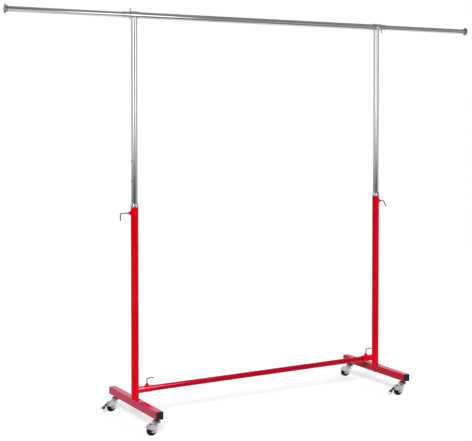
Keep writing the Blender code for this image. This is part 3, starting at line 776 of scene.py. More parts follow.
class Effects:
    """The shader groups that several finishes share, each built once."""

    def __init__(self) -> None:
        """Builds the groups."""
        self.grain = self.grain_group()
        self.hairlines = self.hairline_group()
        self.dust = self.dust_group()
        self.edge_wear = self.edge_wear_group()
        self.drift = self.drift_group()

    @staticmethod
    def start(
        name: str, usual: Values, output: str, kind: str = FLOAT
    ) -> tuple[NodeSheet, bpy.types.NodeOutputs]:
        """Makes a group with its sockets.

        Args:
            name: the group's name.
            usual: the name and the usual value of each input.
            output: the name of its one output.
            kind: the output's socket type.

        Returns:
            The sheet and the group's inputs.
        """
        tree = bpy.data.node_groups.new(name, "ShaderNodeTree")
        add_inputs(tree, usual)
        tree.interface.new_socket(name=output, in_out="OUTPUT", socket_type=kind)
        sheet = NodeSheet(tree)
        return sheet, sheet.add("NodeGroupInput").outputs

    def grain_group(self) -> NodeTree:
        """Fine unevenness of a surface, as a height."""
        usual = {"Scale": 400.0, "Detail": 3.0, "Stretch": (1, 1, 1)}
        sheet, given = self.start("surface_grain", usual, "Height")
        laid = sheet.place(given["Stretch"])
        height = sheet.noise(laid, given["Scale"], given["Detail"], Roughness=0.55)
        sheet.end("NodeGroupOutput", height)
        return sheet.tree

    def hairline_group(self) -> NodeTree:
        """Thin handling scratches along a direction, as a mask."""
        usual = {"Scale": 600.0, "Stretch": (1, 1, 1), "Rarity": 0.6}
        sheet, given = self.start("hairline_scratches", usual, "Mask")
        noise = sheet.noise(sheet.place(given["Stretch"]), given["Scale"], 1.0)
        above = sheet.math("SUBTRACT", noise, given["Rarity"])
        sheet.end("NodeGroupOutput", sheet.ranged(above, 0.0, 0.08))
        return sheet.tree

    def dust_group(self) -> NodeTree:
        """A thin patchy film of dust, as a mask."""
        usual = {"Patch Scale": 9.0, "Speck Scale": 900.0}
        sheet, given = self.start("dust_film", usual, "Mask")
        place = sheet.place()
        wide = sheet.ranged(sheet.noise(place, given["Patch Scale"], 3.0), 0.42, 0.72)
        fine = sheet.ranged(sheet.noise(place, given["Speck Scale"], 1.0), 0.45, 0.75, 0.2)
        sheet.end("NodeGroupOutput", sheet.times(wide, fine))
        return sheet.tree

    def edge_wear_group(self) -> NodeTree:
        """Rubbed outer edges, broken up, as a mask."""
        usual = {"Reach": 0.06, "Break-up Scale": 120.0}
        sheet, given = self.start("edge_wear", usual, "Mask")
        bend = sheet.out("ShaderNodeNewGeometry", output="Pointiness")
        share = sheet.math("DIVIDE", sheet.math("SUBTRACT", bend, 0.52), given["Reach"])
        noise = sheet.noise(sheet.place(), given["Break-up Scale"], 4.0)
        edge = sheet.ranged(share, 0.0, 1.0)
        sheet.end("NodeGroupOutput", sheet.times(edge, sheet.ranged(noise, 0.45, 0.65)))
        return sheet.tree

    def drift_group(self) -> NodeTree:
        """A colour that drifts slightly to a second one over the surface."""
        greys = {"Colour": (0.5, 0.5, 0.5, 1.0), "Second Colour": (0.4, 0.4, 0.4, 1.0)}
        sheet, given = self.start("colour_drift", {**greys, "Scale": 14.0}, "Colour", COLOUR)
        share = sheet.ranged(sheet.noise(sheet.place(), given["Scale"], 4.0), 0.35, 0.7)
        sheet.end("NodeGroupOutput", sheet.mixed(share, given["Colour"], given["Second Colour"]))
        return sheet.tree


@dataclass(frozen=True)
class Finish:
    """What every finish has: a name, its slot and its plain shader values."""

    name: str
    slot: Slot
    colour: Triple
    second: Triple
    roughness: Pair
    metallic: float = 0.0
    ior: float = 1.45
    grain: Grain = Grain.NONE
    grain_scale: float = 400.0
    bump: float = 0.02
    bump_depth: float = 0.0001
    drift_scale: float = 14.0
    scratch_scale: float = 700.0
    scratch_rarity: float = 0.62
    scratch_effect: float = 0.08
    dust_colour: Triple = (0.45, 0.43, 0.40)
    dust_effect: float = 0.03
    wear_colour: Triple = (0.3, 0.3, 0.3)
    wear_effect: float = 0.0
    coat: float = 0.0
    coat_roughness: float = 0.05
    shine_tint: Triple = (1.0, 1.0, 1.0)
    sheen: float = 0.0
    sheen_tint: Triple = (1.0, 1.0, 1.0)
    shine: float = 0.5

    def material(self, effects: Effects) -> Material:
        """Builds the finish's material.

        Args:
            effects: the shared shader groups.

        Returns:
            The material.
        """
        material = bpy.data.materials.new(self.name)
        material.use_nodes = True
        material.diffuse_color = (*self.colour, 1.0)
        sheet = NodeSheet(material.node_tree)
        shader = material.node_tree.nodes["Principled BSDF"]
        plain = {
            "Metallic": self.metallic,
            "IOR": self.ior,
            "Coat Weight": self.coat,
            "Coat Roughness": self.coat_roughness,
            "Specular Tint": (*self.shine_tint, 1.0),
            "Specular IOR Level": self.shine,
            "Sheen Weight": self.sheen,
            "Sheen Roughness": 0.35,
            "Sheen Tint": (*self.sheen_tint, 1.0),
        }
        for label, value in plain.items():
            shader.inputs[label].default_value = value

        def effect(tree: NodeTree, values: Values) -> Socket:
            """Places a shared group with this finish's values."""
            node = sheet.add("ShaderNodeGroup", node_tree=tree)
            for label, value in values.items():
                sheet.feed(node.inputs[label], value)
            return node.outputs[0]

        colours = {"Colour": (*self.colour, 1.0), "Second Colour": (*self.second, 1.0)}
        base = effect(effects.drift, {**colours, "Scale": self.drift_scale})
        dust = effect(effects.dust, {"Patch Scale": self.drift_scale * 0.7})
        lines = {"Scale": self.scratch_scale, "Stretch": self.grain.value}
        scratches = effect(effects.hairlines, {**lines, "Rarity": self.scratch_rarity})
        dusty = sheet.mixed(sheet.times(dust, self.dust_effect), base, (*self.dust_colour, 1.0))
        if self.wear_effect > 0.0:
            share = sheet.times(effect(effects.edge_wear, {}), self.wear_effect)
            dusty = sheet.mixed(share, dusty, (*self.wear_colour, 1.0))
        sheet.feed(shader.inputs["Base Color"], dusty)
        height = effect(effects.grain, {"Scale": self.grain_scale, "Stretch": self.grain.value})
        even = sheet.ranged(height, 0.3, 0.7, *self.roughness)
        scratched = sheet.times(scratches, self.scratch_effect)
        filmed = sheet.times(dust, self.dust_effect * 2.0)
        rough = sheet.math("ADD", even, sheet.math("ADD", scratched, filmed))
        sheet.feed(shader.inputs["Roughness"], rough)
        relief = sheet.math("SUBTRACT", height, sheet.times(scratches, 0.5))
        values = {"Strength": self.bump, "Distance": self.bump_depth, "Height": relief}
        sheet.feed(shader.inputs["Normal"], sheet.out("ShaderNodeBump", values))
        return material


RED_ENAMEL = Finish(
    name="red_enamel",
    slot=Slot.RED_ENAMEL,
    colour=(0.80, 0.0002, 0.0030),
    second=(0.74, 0.0002, 0.0040),
    roughness=(0.10, 0.16),
    ior=1.50,
    shine_tint=(1.0, 0.02, 0.08),
    coat=0.04,
    coat_roughness=0.06,
    sheen=0.62,
    sheen_tint=(0.85, 0.02, 1.0),
    grain_scale=420.0,
    bump=0.10,
    bump_depth=0.00015,
    scratch_rarity=0.70,
    scratch_effect=0.10,
    dust_effect=0.006,
    wear_colour=(0.50, 0.0, 0.004),
    wear_effect=0.25,
)
# Painted shade: a darkened copy of the red enamel, without its coat and sheen, for the pin on top of the
# foot.
SHADED_PIN_ENAMEL = replace(
    RED_ENAMEL,
    name="red_enamel_pin",
    colour=(0.22, 0.0002, 0.012),
    second=(0.18, 0.0002, 0.014),
    coat=0.0,
    sheen=0.0,
)
# Painted shade: a darkened copy of the red enamel for the crossbar, which the uprights and stubs do not
# share.
SHADED_CROSSBAR_ENAMEL = replace(
    RED_ENAMEL,
    name="red_enamel_crossbar",
    colour=(0.53, 0.0002, 0.010),
    second=(0.47, 0.0002, 0.012),
)
CHROME = Finish(
    name="chrome_plate",
    slot=Slot.CHROME,
    colour=(0.86, 0.86, 0.87),
    second=(0.82, 0.82, 0.84),
    roughness=(0.045, 0.085),
    metallic=1.0,
    grain_scale=260.0,
    bump=0.015,
    scratch_rarity=0.66,
    scratch_effect=0.10,
    dust_effect=0.02,
)
# Painted shade: a darkened copy of the chrome for the arms' end caps.
SHADED_END_CAP_CHROME = replace(
    CHROME,
    name="chrome_end_cap",
    colour=(0.50, 0.49, 0.50),
    second=(0.42, 0.41, 0.43),
)
# Painted shade: a darkened copy of the chrome for the casters, whose second tone drifts darker still,
# standing in for the dark tyres and undersides that the hoods and caps mirror.
SHADED_CASTER_CHROME = replace(
    CHROME,
    name="chrome_caster",
    colour=(0.70, 0.69, 0.72),
    second=(0.56, 0.55, 0.58),
)
SCREW_STEEL = Finish(
    name="screw_steel",
    slot=Slot.CHROME,
    colour=(0.44, 0.44, 0.48),
    second=(0.36, 0.36, 0.40),
    roughness=(0.10, 0.18),
    metallic=1.0,
    grain_scale=500.0,
    drift_scale=90.0,
    bump=0.03,
)
PEDAL_STEEL = replace(
    SCREW_STEEL,
    name="pedal_steel",
    colour=(0.20, 0.20, 0.21),
    second=(0.13, 0.13, 0.14),
    roughness=(0.16, 0.26),
    grain_scale=600.0,
    drift_scale=120.0,
    bump=0.05,
)
DARK_ZINC = Finish(
    name="dark_zinc",
    slot=Slot.ZINC,
    colour=(0.36, 0.36, 0.38),
    second=(0.22, 0.22, 0.24),
    roughness=(0.26, 0.40),
    metallic=1.0,
    grain_scale=900.0,
    drift_scale=160.0,
    bump=0.12,
    bump_depth=0.0002,
    dust_effect=0.05,
)
BLACK_PLASTIC = Finish(
    name="black_plastic",
    slot=Slot.PLASTIC,
    colour=(0.013, 0.009, 0.012),
    second=(0.010, 0.007, 0.010),
    roughness=(0.30, 0.44),
    ior=1.46,
    shine=0.38,
    grain_scale=1500.0,
    drift_scale=60.0,
    bump=0.35,
    dust_effect=0.04,
    wear_colour=(0.06, 0.06, 0.06),
    wear_effect=0.4,
)
HUB_NYLON = Finish(
    name="hub_nylon",
    slot=Slot.HUB,
    colour=(0.012, 0.012, 0.014),
    second=(0.008, 0.008, 0.010),
    roughness=(0.34, 0.48),
    ior=1.5,
    shine=0.25,
    grain_scale=1100.0,
    drift_scale=80.0,
    bump=0.25,
    dust_effect=0.06,
)
TYRE_RUBBER = Finish(
    name="tyre_rubber",
    slot=Slot.TYRE,
    colour=(0.004, 0.004, 0.005),
    second=(0.007, 0.007, 0.008),
    roughness=(0.50, 0.66),
    ior=1.5,
    shine=0.10,
    grain_scale=1300.0,
    drift_scale=110.0,
    bump=0.4,
    bump_depth=0.00012,
    dust_effect=0.03,
)

# The workshop ----


@dataclass
class Workshop:
    """Holds the finishes and recipes, and puts each finished mesh into the scene."""

    effects: Effects = field(default_factory=Effects)
    materials: dict[tuple[str, Grain], Material] = field(default_factory=dict)
    tubes: TubeRecipe = field(default_factory=TubeRecipe)
    holes: IndexHoleRecipe = field(default_factory=IndexHoleRecipe)
    beads: WeldBeadRecipe = field(default_factory=WeldBeadRecipe)
    threads: ThreadRecipe = field(default_factory=ThreadRecipe)
    spokes: SpokeRecipe = field(default_factory=SpokeRecipe)
    grips: TreadRecipe = field(default_factory=TreadRecipe)

    def paint(self, finish: Finish, grain: Grain | None = None) -> Material:
        """The material of a finish whose lines run in a direction, built once."""
        laid = grain or finish.grain
        key = (finish.name, laid)
        if key not in self.materials:
            same = laid is finish.grain
            name = finish.name if same else f"{finish.name}_{laid.name.lower()}"
            self.materials[key] = replace(finish, name=name, grain=laid).material(self.effects)
        return self.materials[key]

    def tube(self, finish: Finish, outer: float, wall: float, length: float, rim: float = 0.0004) -> Mesh:
        """A round tube about the Z axis with its middle at the origin."""
        sizes = {"Length": length, "Outer Radius": outer / 2, "Wall": wall, "Rim": rim}
        return self.tubes.make(self.paint(finish), sizes)

    def level_tube(
        self, node: str, height: float, finish: Finish, outer: float, wall: float, rim: float = 0.0004
    ) -> tuple[Mesh, Matrix]:
        """A tube along X, as long as its node, and the place of its axis."""
        low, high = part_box(node)
        place = at((low.x + high.x) / 2, 0.0, height) @ ALONG_X
        return moved(self.tube(finish, outer, wall, high.x - low.x, rim), place), place

    def bead(self, finish: Finish, path: Sequence[Vector], radius: float) -> Mesh:
        """A bead of weld along a closed run of points."""
        line = bpy.data.meshes.new("line")
        count = len(path)
        line.from_pydata(path, [(index, (index + 1) % count) for index in range(count)], [])
        sizes = {"Radius": radius, "Ripple Pitch": 1.5 * radius}
        return self.beads.make(self.paint(finish), sizes, line)

    def dress(
        self,
        name: str,
        mesh: Mesh,
        finish: Finish,
        body: str = "base",
        grain: Grain | None = None,
        walls: Sequence[Wall] = (),
        node: str = "",
    ) -> None:
        """Puts a finished piece into the scene.

        Args:
            name: the piece's name.
            mesh: its mesh, in place.
            finish: its finish.
            body: the body that it rides on.
            grain: the direction of the finish's lines.
            walls: the piece's long round walls.
            node: the node that it stands for, where that is not the name less its last word.
        """
        mesh.materials.clear()
        mesh.materials.append(self.paint(finish, grain))
        for face in mesh.polygons:
            face.material_index = 0
        mesh = shaded(mesh, walls)
        mesh.name = name
        piece = placed(name, mesh)
        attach(piece, body)
        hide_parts(node or name.rpartition("_")[0])
        LOG.info("%-28s %6d faces, rides on %s", name, len(mesh.polygons), body)


def joint(name: str) -> Values:
    """The record of a joint."""
    return next(entry for entry in frame["joints"] if entry["name"] == name)


def joint_place(name: str) -> Vector:
    """A point on a joint's axis."""
    return Vector(joint(name)["pos_m"])


def middle(name: str) -> Vector:
    """The middle of a node's box."""
    low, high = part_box(name)
    return (low + high) / 2


@dataclass(frozen=True)
class Landmarks:
    """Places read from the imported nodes."""

    post_x: float
    rail_z: float
    crossbar_z: float
    foot_low: float
    foot_top: float
    foot_end: float
    upright_low: float
    upright_top: float
    post_low: float
    height_screw_z: float

    @classmethod
    def read(cls) -> "Landmarks":
        """Reads every place from the frame."""
        foot_low, foot_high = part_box("right_foot")
        upright_low, upright_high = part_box("right_upright")
        return cls(
            post_x=middle("right_post").x,
            rail_z=middle("hangrail").z,
            crossbar_z=middle("crossbar").z,
            foot_low=foot_low.z,
            foot_top=foot_high.z,
            foot_end=foot_high.y,
            upright_low=upright_low.z,
            upright_top=upright_high.z,
            post_low=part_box("right_post")[0].z,
            height_screw_z=joint_place("right_height_screw_turn").z,
        )


@dataclass(frozen=True)
class Boss:
    """A weld nut on a tube along X, in which a clamp screw turns, with its flared weld."""

    diameter: float = 0.0150
    height: float = 0.0115
    chamfer: float = 0.0008
    hole: float = 0.0072
    bead: float = 0.0011
    bead_out: float = 0.0005
    flare: tuple[Triple, ...] = (
        (0.0160, 0.0128, -0.0065),
        (0.0158, 0.0124, -0.0030),
        (0.0150, 0.0117, 0.0002),
        (0.0122, 0.0103, 0.0016),
        (0.0101, 0.0092, 0.0034),
        (0.0088, 0.0083, 0.0055),
        (0.0079, 0.0078, 0.0078),
    )

    def solid(self, surface: float, turn: Matrix) -> Mesh:
        """The boss, where the tube's surface lies at a distance from its axis."""
        radius, chamfer = self.diameter / 2, self.chamfer
        rings = list(self.flare)
        for inwards, below in ((0.0, chamfer), (0.3 * chamfer, 0.3 * chamfer), (chamfer, 0.0)):
            rings.append((radius - inwards, radius - inwards, self.height - below))
        loops = [circle(along, surface + up, BOSS_SIDES, across) for along, across, up in rings]
        return skinned(loops, turn)

    def drill(self, surface: float, turn: Matrix) -> Mesh:
        """The cutter for the screw's hole."""
        return rod(self.hole, 0.0, surface + 2 * self.height, FINE_ROD_SIDES, turn)

    def bead_path(self, surface: float, turn: Matrix) -> list[Vector]:
        """Where the flare meets the tube."""
        along, across, _ = self.flare[2]
        ring = circle(along, 0.0, BOSS_SIDES, across + self.bead_out)
        return [turn @ Vector((p.x, p.y, math.sqrt(surface**2 - p.y**2))) for p in ring]


@dataclass
class Part:
    """A sub-assembly, with the workshop that builds it and the places that it goes to."""

    shop: Workshop
    marks: Landmarks


@dataclass
class SidePart(Part):
    """A sub-assembly at one end of the rack."""

    side: Side

    @property
    def x(self) -> float:
        """Where this end's foot, upright and post stand."""
        return self.side.sign * self.marks.post_x

    @property
    def outwards(self) -> Matrix:
        """The turn that takes Z to the outer side of this end."""
        return quarter(self.side.sign, "Y")

    def named(self, name: str) -> str:
        """A name that starts with this end's."""
        return f"{self.side.value}_{name}"


# The base ----


@dataclass
class Foot(SidePart):
    """A square tube on two casters, with its end caps, its bolt and its pin."""

    size: float = 0.0381
    wall: float = 0.0020
    corner: float = 0.0030
    ease: float = 0.0004
    stud_hole: float = 0.0101
    bolt_hole: float = 0.0104
    pin_hole: float = 0.0056
    cap_plate: float = 0.0030
    cap_plug: float = 0.0120
    cap_wall: float = 0.0016
    cap_chamfer: float = 0.0008
    bolt_flats: float = 0.0160
    bolt_head: float = 0.0064
    bolt_diameter: float = 0.0098
    bolt_chamfer: float = 0.0008
    bolt_cone: Pair = (0.98, 1.17)
    bolt_cone_rise: float = 0.0012
    bolt_overlap: float = 0.001
    washer: float = 0.0012
    washer_share: float = 1.05
    nut_plate: float = 0.0040
    bolt_proud: float = 0.0030
    pin_diameter: float = 0.0050
    pin_head: float = 0.0086
    pin_height: float = 0.0034

    def build(self) -> None:
        """Builds the tube, both caps, the bolt and the pin."""
        self.build_tube()
        for end in End:
            self.build_cap(end)
        self.build_bolt()
        self.build_pin()

    @property
    def middle_z(self) -> float:
        """The height of the tube's axis."""
        return (self.marks.foot_low + self.marks.foot_top) / 2

    def build_tube(self) -> None:
        """The red square tube, drilled for its studs, bolt and pin."""
        x, z, end, ease = self.x, self.middle_z, self.marks.foot_end, self.ease
        half, inner = self.size / 2, self.size / 2 - self.wall
        outside = ((half - ease, -end), (half, -end + ease), (half, end - ease), (half - ease, end))
        loops = [rounded_square(reach, self.corner, place) for reach, place in outside]
        loops += [rounded_square(inner, self.corner - self.wall, place) for place in (end, -end)]
        blank = skinned(loops, at(x, 0.0, z) @ ALONG_Y, closed=True)
        caster_y = joint_place("right_rear_swivel_turn").y
        pin = middle(self.named("locating_pin"))
        drills = [(self.stud_hole, -self.size, 0.0, x, end.sign * caster_y) for end in End]
        drills.append((self.bolt_hole, -self.size, self.size, x, 0.0))
        drills.append((self.pin_hole, 0.0, self.size, pin.x, pin.y))
        cutters = [
            moved(rod(hole, low, high), at(across, along, z))
            for hole, low, high, across, along in drills
        ]
        tube = worked(blank, cutters)
        self.shop.dress(self.named("foot_tube"), tube, RED_ENAMEL, grain=Grain.ALONG_Y)

    def build_cap(self, end: End) -> None:
        """A black plug whose crowned plate covers the tube's end."""
        half, plug = self.size / 2, self.size / 2 - self.wall - FIT
        face, edge = FIT + self.cap_plate, self.cap_plate / 3
        corner, inner, deep = self.corner, self.corner - self.wall, -self.cap_plug
        rings = [
            (0.25 * half, 0.2 * half, face),
            (half - 3.2 * edge, corner, face),
            (half - 2.2 * edge, corner, face - 0.12 * edge),
            (half - 1.0 * edge, corner, face - 0.45 * edge),
            (half - 0.3 * edge, corner, face - 1.0 * edge),
            (half, corner, face - 1.7 * edge),
            (half, corner, FIT),
            (plug, inner, FIT),
            (plug, inner, deep + self.cap_chamfer),
            (plug - self.cap_chamfer, inner, deep),
            (plug - self.cap_wall, inner / 2, deep),
            (plug - self.cap_wall, inner / 2, 0.0),
            (0.25 * half, 0.2 * half, 0.0),
        ]
        place = at(self.x, end.sign * self.marks.foot_end, self.middle_z)
        mesh = skinned([rounded_square(*ring) for ring in rings], place @ quarter(-end.sign, "X"))
        self.shop.dress(self.named(f"{end.value}_foot_cap_plug"), mesh, BLACK_PLASTIC)

    def build_bolt(self) -> None:
        """The hex bolt under the foot, with its washer face and chamfered corners."""
        low, flat, over = -self.bolt_head, self.bolt_flats / 2, self.bolt_overlap
        narrow, wide = (flat * share for share in self.bolt_cone)
        cone = [(0.0, low - over), (narrow, low - over), (narrow, low)]
        cone += [(wide, low + self.bolt_cone_rise), (wide, over), (0.0, over)]
        shell = rod(2 * THROUGH, -THROUGH, THROUGH, TURNED_SIDES)
        around_cone = worked(shell, [turned(cone, TURNED_SIDES)])
        head = rod(self.bolt_flats / math.cos(math.pi / 6), low, -self.washer, 6)
        trimmed = worked(head, [around_cone])
        face = flat * self.washer_share
        rim = [(0.0, -self.washer, 0.0), (face, -self.washer, 0.0003), (face, 0.0, 0.0002)]
        washer = turned(softened([*rim, (0.0, 0.0, 0.0)]), TURNED_SIDES)
        shank, chamfer = self.bolt_diameter / 2, self.bolt_chamfer
        top = self.size + FIT + self.nut_plate + self.bolt_proud
        stud = [(0.0, -over), (shank, -over), (shank, top - chamfer), (shank - chamfer, top)]
        mesh = merged([trimmed, washer, turned([*stud, (0.0, top)])])
        mesh.transform(at(self.x, 0.0, self.marks.foot_low - FIT))
        self.shop.dress(self.named("foot_bolt_hex"), mesh, DARK_ZINC)

    def build_pin(self) -> None:
        """The domed red pin on top of the foot."""
        name = self.named("locating_pin")
        centre, deep = middle(name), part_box(name)[0].z - self.marks.foot_top
        head, shank, top = self.pin_head / 2, self.pin_diameter / 2, self.pin_height
        profile = [(0.0, deep), (shank, deep), (shank, FIT), (head, FIT)]
        profile += arc((0.0, FIT + 0.35 * top), head, 0.65 * top, 0.0, RIGHT_ANGLE, 8)
        mesh = turned(profile, FINE_ROD_SIDES, at(centre.x, centre.y, self.marks.foot_top))
        # The pin takes the darkened copy of the enamel: painted shade.
        self.shop.dress(f"{name}_stud", mesh, SHADED_PIN_ENAMEL)


@dataclass
class Upright(SidePart):
    """The red tube that a post slides in, with its collar and the crossbar's stub."""

    outer: float = 0.0381
    wall: float = 0.0016
    collar_skirt_wall: float = 0.0009
    collar_skirt: float = 0.0035
    collar_rise: float = 0.0195
    collar_spigot: float = 0.0120
    stub_outer: float = 0.0325
    stub_wall: float = 0.0016
    stub_reach: float = 0.0918
    stub_ease: float = 0.0004
    stub_bead: float = 0.0013
    stub_bead_out: float = 0.0006
    screw_place: float = 0.0650
    boss: Boss = field(default_factory=Boss)

    def build(self) -> None:
        """Builds the tube, the collar and the stub."""
        self.build_tube()
        self.build_collar()
        self.build_stub()

    def build_tube(self) -> None:
        """The tube with its nut plate, weld nut and bead."""
        marks, radius, hole = self.marks, self.outer / 2, Foot.bolt_hole / 2
        bore = radius - self.wall
        length = marks.upright_top - marks.upright_low
        corners = [
            (hole, 0.0, 0.0003),
            (radius, 0.0, 0.0006),
            (radius, length, 0.0004),
            (bore, length, 0.0004),
            (bore, Foot.nut_plate, 0.0),
            (hole, Foot.nut_plate, 0.0003),
        ]
        foot = at(self.x, 0.0, marks.upright_low)
        blank = turned(softened(corners), turn=foot, closed=True)
        place = at(self.x, 0.0, marks.height_screw_z)
        screw = place @ self.outwards
        inside = moved(rod(2 * bore, -THROUGH, THROUGH, TUBE_SIDES), place)
        drill = self.boss.drill(radius, screw)
        tube = worked(blank, [inside, drill], [self.boss.solid(radius, screw)])
        bead = self.shop.bead(RED_ENAMEL, self.boss.bead_path(radius, screw), self.boss.bead)
        name, walls = self.named("upright_tube"), [Wall(place, (radius, bore))]
        mesh = merged([tube, bead])
        self.shop.dress(name, mesh, RED_ENAMEL, grain=Grain.ALONG_Z, walls=walls)

    def build_collar(self) -> None:
        """The chrome guide on top, with a conical, rounded shoulder."""
        bore = Post.outer / 2 + FIT
        seat, spigot = self.outer / 2 + FIT, self.outer / 2 - self.wall - FIT
        outer = seat + self.collar_skirt_wall
        rise, skirt, deep = self.collar_rise, self.collar_skirt, -self.collar_spigot
        corners = [
            (bore, rise, 0.0006),
            (outer - 0.0044, rise, 0.0022),
            (outer - 0.0022, rise - 0.0048, 0.0040),
            (outer, 0.0010, 0.0060),
            (outer, -skirt, 0.0004),
            (seat, -skirt, 0.0002),
            (seat, FIT, 0.0),
            (spigot, FIT, 0.0),
            (spigot, deep, 0.0004),
            (bore, deep, 0.0004),
        ]
        top = at(self.x, 0.0, self.marks.upright_top)
        mesh = turned(softened(corners, 7), turn=top, closed=True)
        self.shop.dress(self.named("collar_guide"), mesh, CHROME, grain=Grain.ALONG_Z)

    def build_stub(self) -> None:
        """The red socket of the crossbar, saddled to the upright with a bead of weld."""
        radius, reach, ease = self.stub_outer / 2, self.stub_reach, self.stub_ease
        bore, upright = radius - self.stub_wall, self.outer / 2
        place = at(self.x, 0.0, self.marks.crossbar_z)
        inwards = place @ quarter(-self.side.sign, "Y")
        profile = [(0.0, 0.0), (radius, 0.0), (radius, reach - ease), (radius - ease, reach)]
        blank = turned([*profile, (0.0, reach)], turn=inwards)
        screw = at(self.x - self.side.sign * self.screw_place, 0.0, self.marks.crossbar_z)
        inside = rod(2 * bore, -THROUGH, reach + THROUGH, TUBE_SIDES, inwards)
        drill = self.boss.drill(radius, screw)
        saddle = rod(self.outer + 2 * FIT, -SADDLE_REACH, SADDLE_REACH, TUBE_SIDES)
        saddle.transform(place)
        stub = worked(blank, [inside, drill, saddle], [self.boss.solid(radius, screw)])
        path = []
        for y, z, _ in circle(radius, 0.0, SADDLE_SIDES):
            x = -self.side.sign * (math.sqrt(upright**2 - y**2) + self.stub_bead_out)
            path.append(place @ Vector((x, y * BEAD_SPREAD, z * BEAD_SPREAD)))
        bead = self.shop.bead(RED_ENAMEL, path, self.stub_bead)
        ring = self.shop.bead(RED_ENAMEL, self.boss.bead_path(radius, screw), self.boss.bead)
        name, walls = self.named("crossbar_stub_socket"), [Wall(place @ ALONG_X, (radius, bore))]
        mesh = merged([stub, bead, ring])
        self.shop.dress(name, mesh, RED_ENAMEL, grain=Grain.ALONG_X, walls=walls)


@dataclass
class Crossbar(Part):
    """The red tube that ties the uprights together."""

    outer: float = 0.0286
    wall: float = 0.0015

    def build(self) -> None:
        """Builds the tube between its two stubs."""
        # The crossbar takes the darkened copy of the red enamel: painted shade.
        sizes = (SHADED_CROSSBAR_ENAMEL, self.outer, self.wall)
        mesh, place = self.shop.level_tube("crossbar", self.marks.crossbar_z, *sizes)
        walls = [Wall(place, (self.outer / 2,))]
        self.shop.dress("crossbar_tube", mesh, SHADED_CROSSBAR_ENAMEL, grain=Grain.ALONG_X, walls=walls)


# The sliding frame ----


@dataclass
class Post(SidePart):
    """A chrome post with its index holes, its bush and the tee on top."""

    outer: float = 0.0318
    wall: float = 0.0015
    rim: float = 0.0003
    hole: float = 0.0112
    hole_start: float = 0.0938
    hole_pitch: float = 0.0970
    holes: int = 4
    bush_outer: float = 0.0343
    bush_sleeve: float = 0.0250
    bush_lip: float = 0.0020
    tee_outer: float = 0.0381
    tee_bore: float = 0.0324
    tee_length: float = 0.0500
    tee_ease: float = 0.0007
    tee_bead: float = 0.0012
    boss: Boss = field(default_factory=Boss)

    def build(self) -> None:
        """Builds the post, the bush and the tee."""
        self.build_post()
        self.build_bush()
        self.build_tee()

    def build_post(self) -> None:
        """The tube, coped under the tee, with a row of holes on its outer side."""
        length = self.marks.rail_z - self.marks.post_low
        tube = self.shop.tube(CHROME, self.outer, self.wall, length, self.rim)
        tube.transform(at(0.0, 0.0, length / 2))
        around, reach = self.tee_outer + 2 * FIT, SADDLE_REACH
        saddle = rod(around, -reach, reach, TUBE_SIDES, ALONG_X)
        coped = worked(tube, [moved(saddle, at(0.0, 0.0, length))])
        sizes = {
            "Count": self.holes,
            "Pitch": self.hole_pitch,
            "First Height": self.hole_start,
            "Diameter": self.hole,
            "Depth": self.outer,
            "Facing": self.side.sign,
        }
        post = self.shop.holes.make(self.shop.paint(CHROME), sizes, coped)
        post.transform(at(self.x, 0.0, self.marks.post_low))
        name, radius = self.named("post_tube"), self.outer / 2
        walls = [Wall(at(self.x, 0.0, 0.0), (radius, radius - self.wall))]
        self.shop.dress(name, post, CHROME, "sliding_frame", Grain.ALONG_Z, walls)

    def build_bush(self) -> None:
        """The plastic guide on the post's hidden lower end."""
        bore, outer = self.outer / 2 + FIT, self.bush_outer / 2
        lip, low = self.outer / 2 - self.wall - self.bush_lip, -FIT - self.bush_lip
        corners = [
            (lip, low, 0.0003),
            (outer, low, 0.0006),
            (outer, self.bush_sleeve, 0.0004),
            (bore, self.bush_sleeve, 0.0),
            (bore, -FIT, 0.0),
            (lip, -FIT, 0.0003),
        ]
        place = at(self.x, 0.0, self.marks.post_low)
        mesh = turned(softened(corners), turn=place, closed=True)
        self.shop.dress(self.named("post_bush_guide"), mesh, BLACK_PLASTIC, "sliding_frame")

    def build_tee(self) -> None:
        """The sleeve round the hangrail, with its weld nut and the bead round the post."""
        place = at(self.x, 0.0, self.marks.rail_z)
        half, radius, ease = self.tee_length / 2, self.tee_outer / 2, self.tee_ease
        corner = [(radius, half - ease), (radius - 0.3 * ease, half - 0.3 * ease)]
        corner += [(radius - ease, half), (0.0, half)]
        blank = turned(both_ends(corner), turn=place @ ALONG_X)
        screw = place @ quarter(self.side.sign, "X")
        inside = rod(self.tee_bore, -2 * half, 2 * half, TUBE_SIDES, place @ ALONG_X)
        drill = self.boss.drill(radius, screw)
        sleeve = worked(blank, [inside, drill], [self.boss.solid(radius, screw)])
        path = []
        for x, y, _ in circle(self.outer / 2, 0.0, SADDLE_SIDES):
            z = -math.sqrt(radius**2 - y**2)
            path.append(place @ Vector((x * BEAD_SPREAD, y * BEAD_SPREAD, z)))
        bead = self.shop.bead(CHROME, path, self.tee_bead)
        ring = self.shop.bead(CHROME, self.boss.bead_path(radius, screw), self.boss.bead)
        name, walls = self.named("tee_sleeve"), [Wall(place @ ALONG_X, (radius, self.tee_bore / 2))]
        mesh = merged([sleeve, bead, ring])
        self.shop.dress(name, mesh, CHROME, "sliding_frame", walls=walls)


@dataclass
class Hangrail(Part):
    """The chrome tube that the hangers hang on."""

    outer: float = 0.0318
    wall: float = 0.0018
    rim: float = 0.0005

    def build(self) -> None:
        """Builds the tube, drilled where the rail screws reach the arms."""
        sizes = (CHROME, self.outer, self.wall, self.rim)
        tube, along = self.shop.level_tube("hangrail", self.marks.rail_z, *sizes)
        cutters = []
        for side in Side:
            place = at(side.sign * self.marks.post_x, 0.0, self.marks.rail_z)
            screw = place @ quarter(side.sign, "X")
            cutters.append(rod(Boss.hole, 0.0, THROUGH, FINE_ROD_SIDES, screw))
        mesh = worked(tube, cutters)
        walls = [Wall(along, (self.outer / 2, self.outer / 2 - self.wall))]
        self.shop.dress("hangrail_tube", mesh, CHROME, "sliding_frame", Grain.ALONG_X, walls)


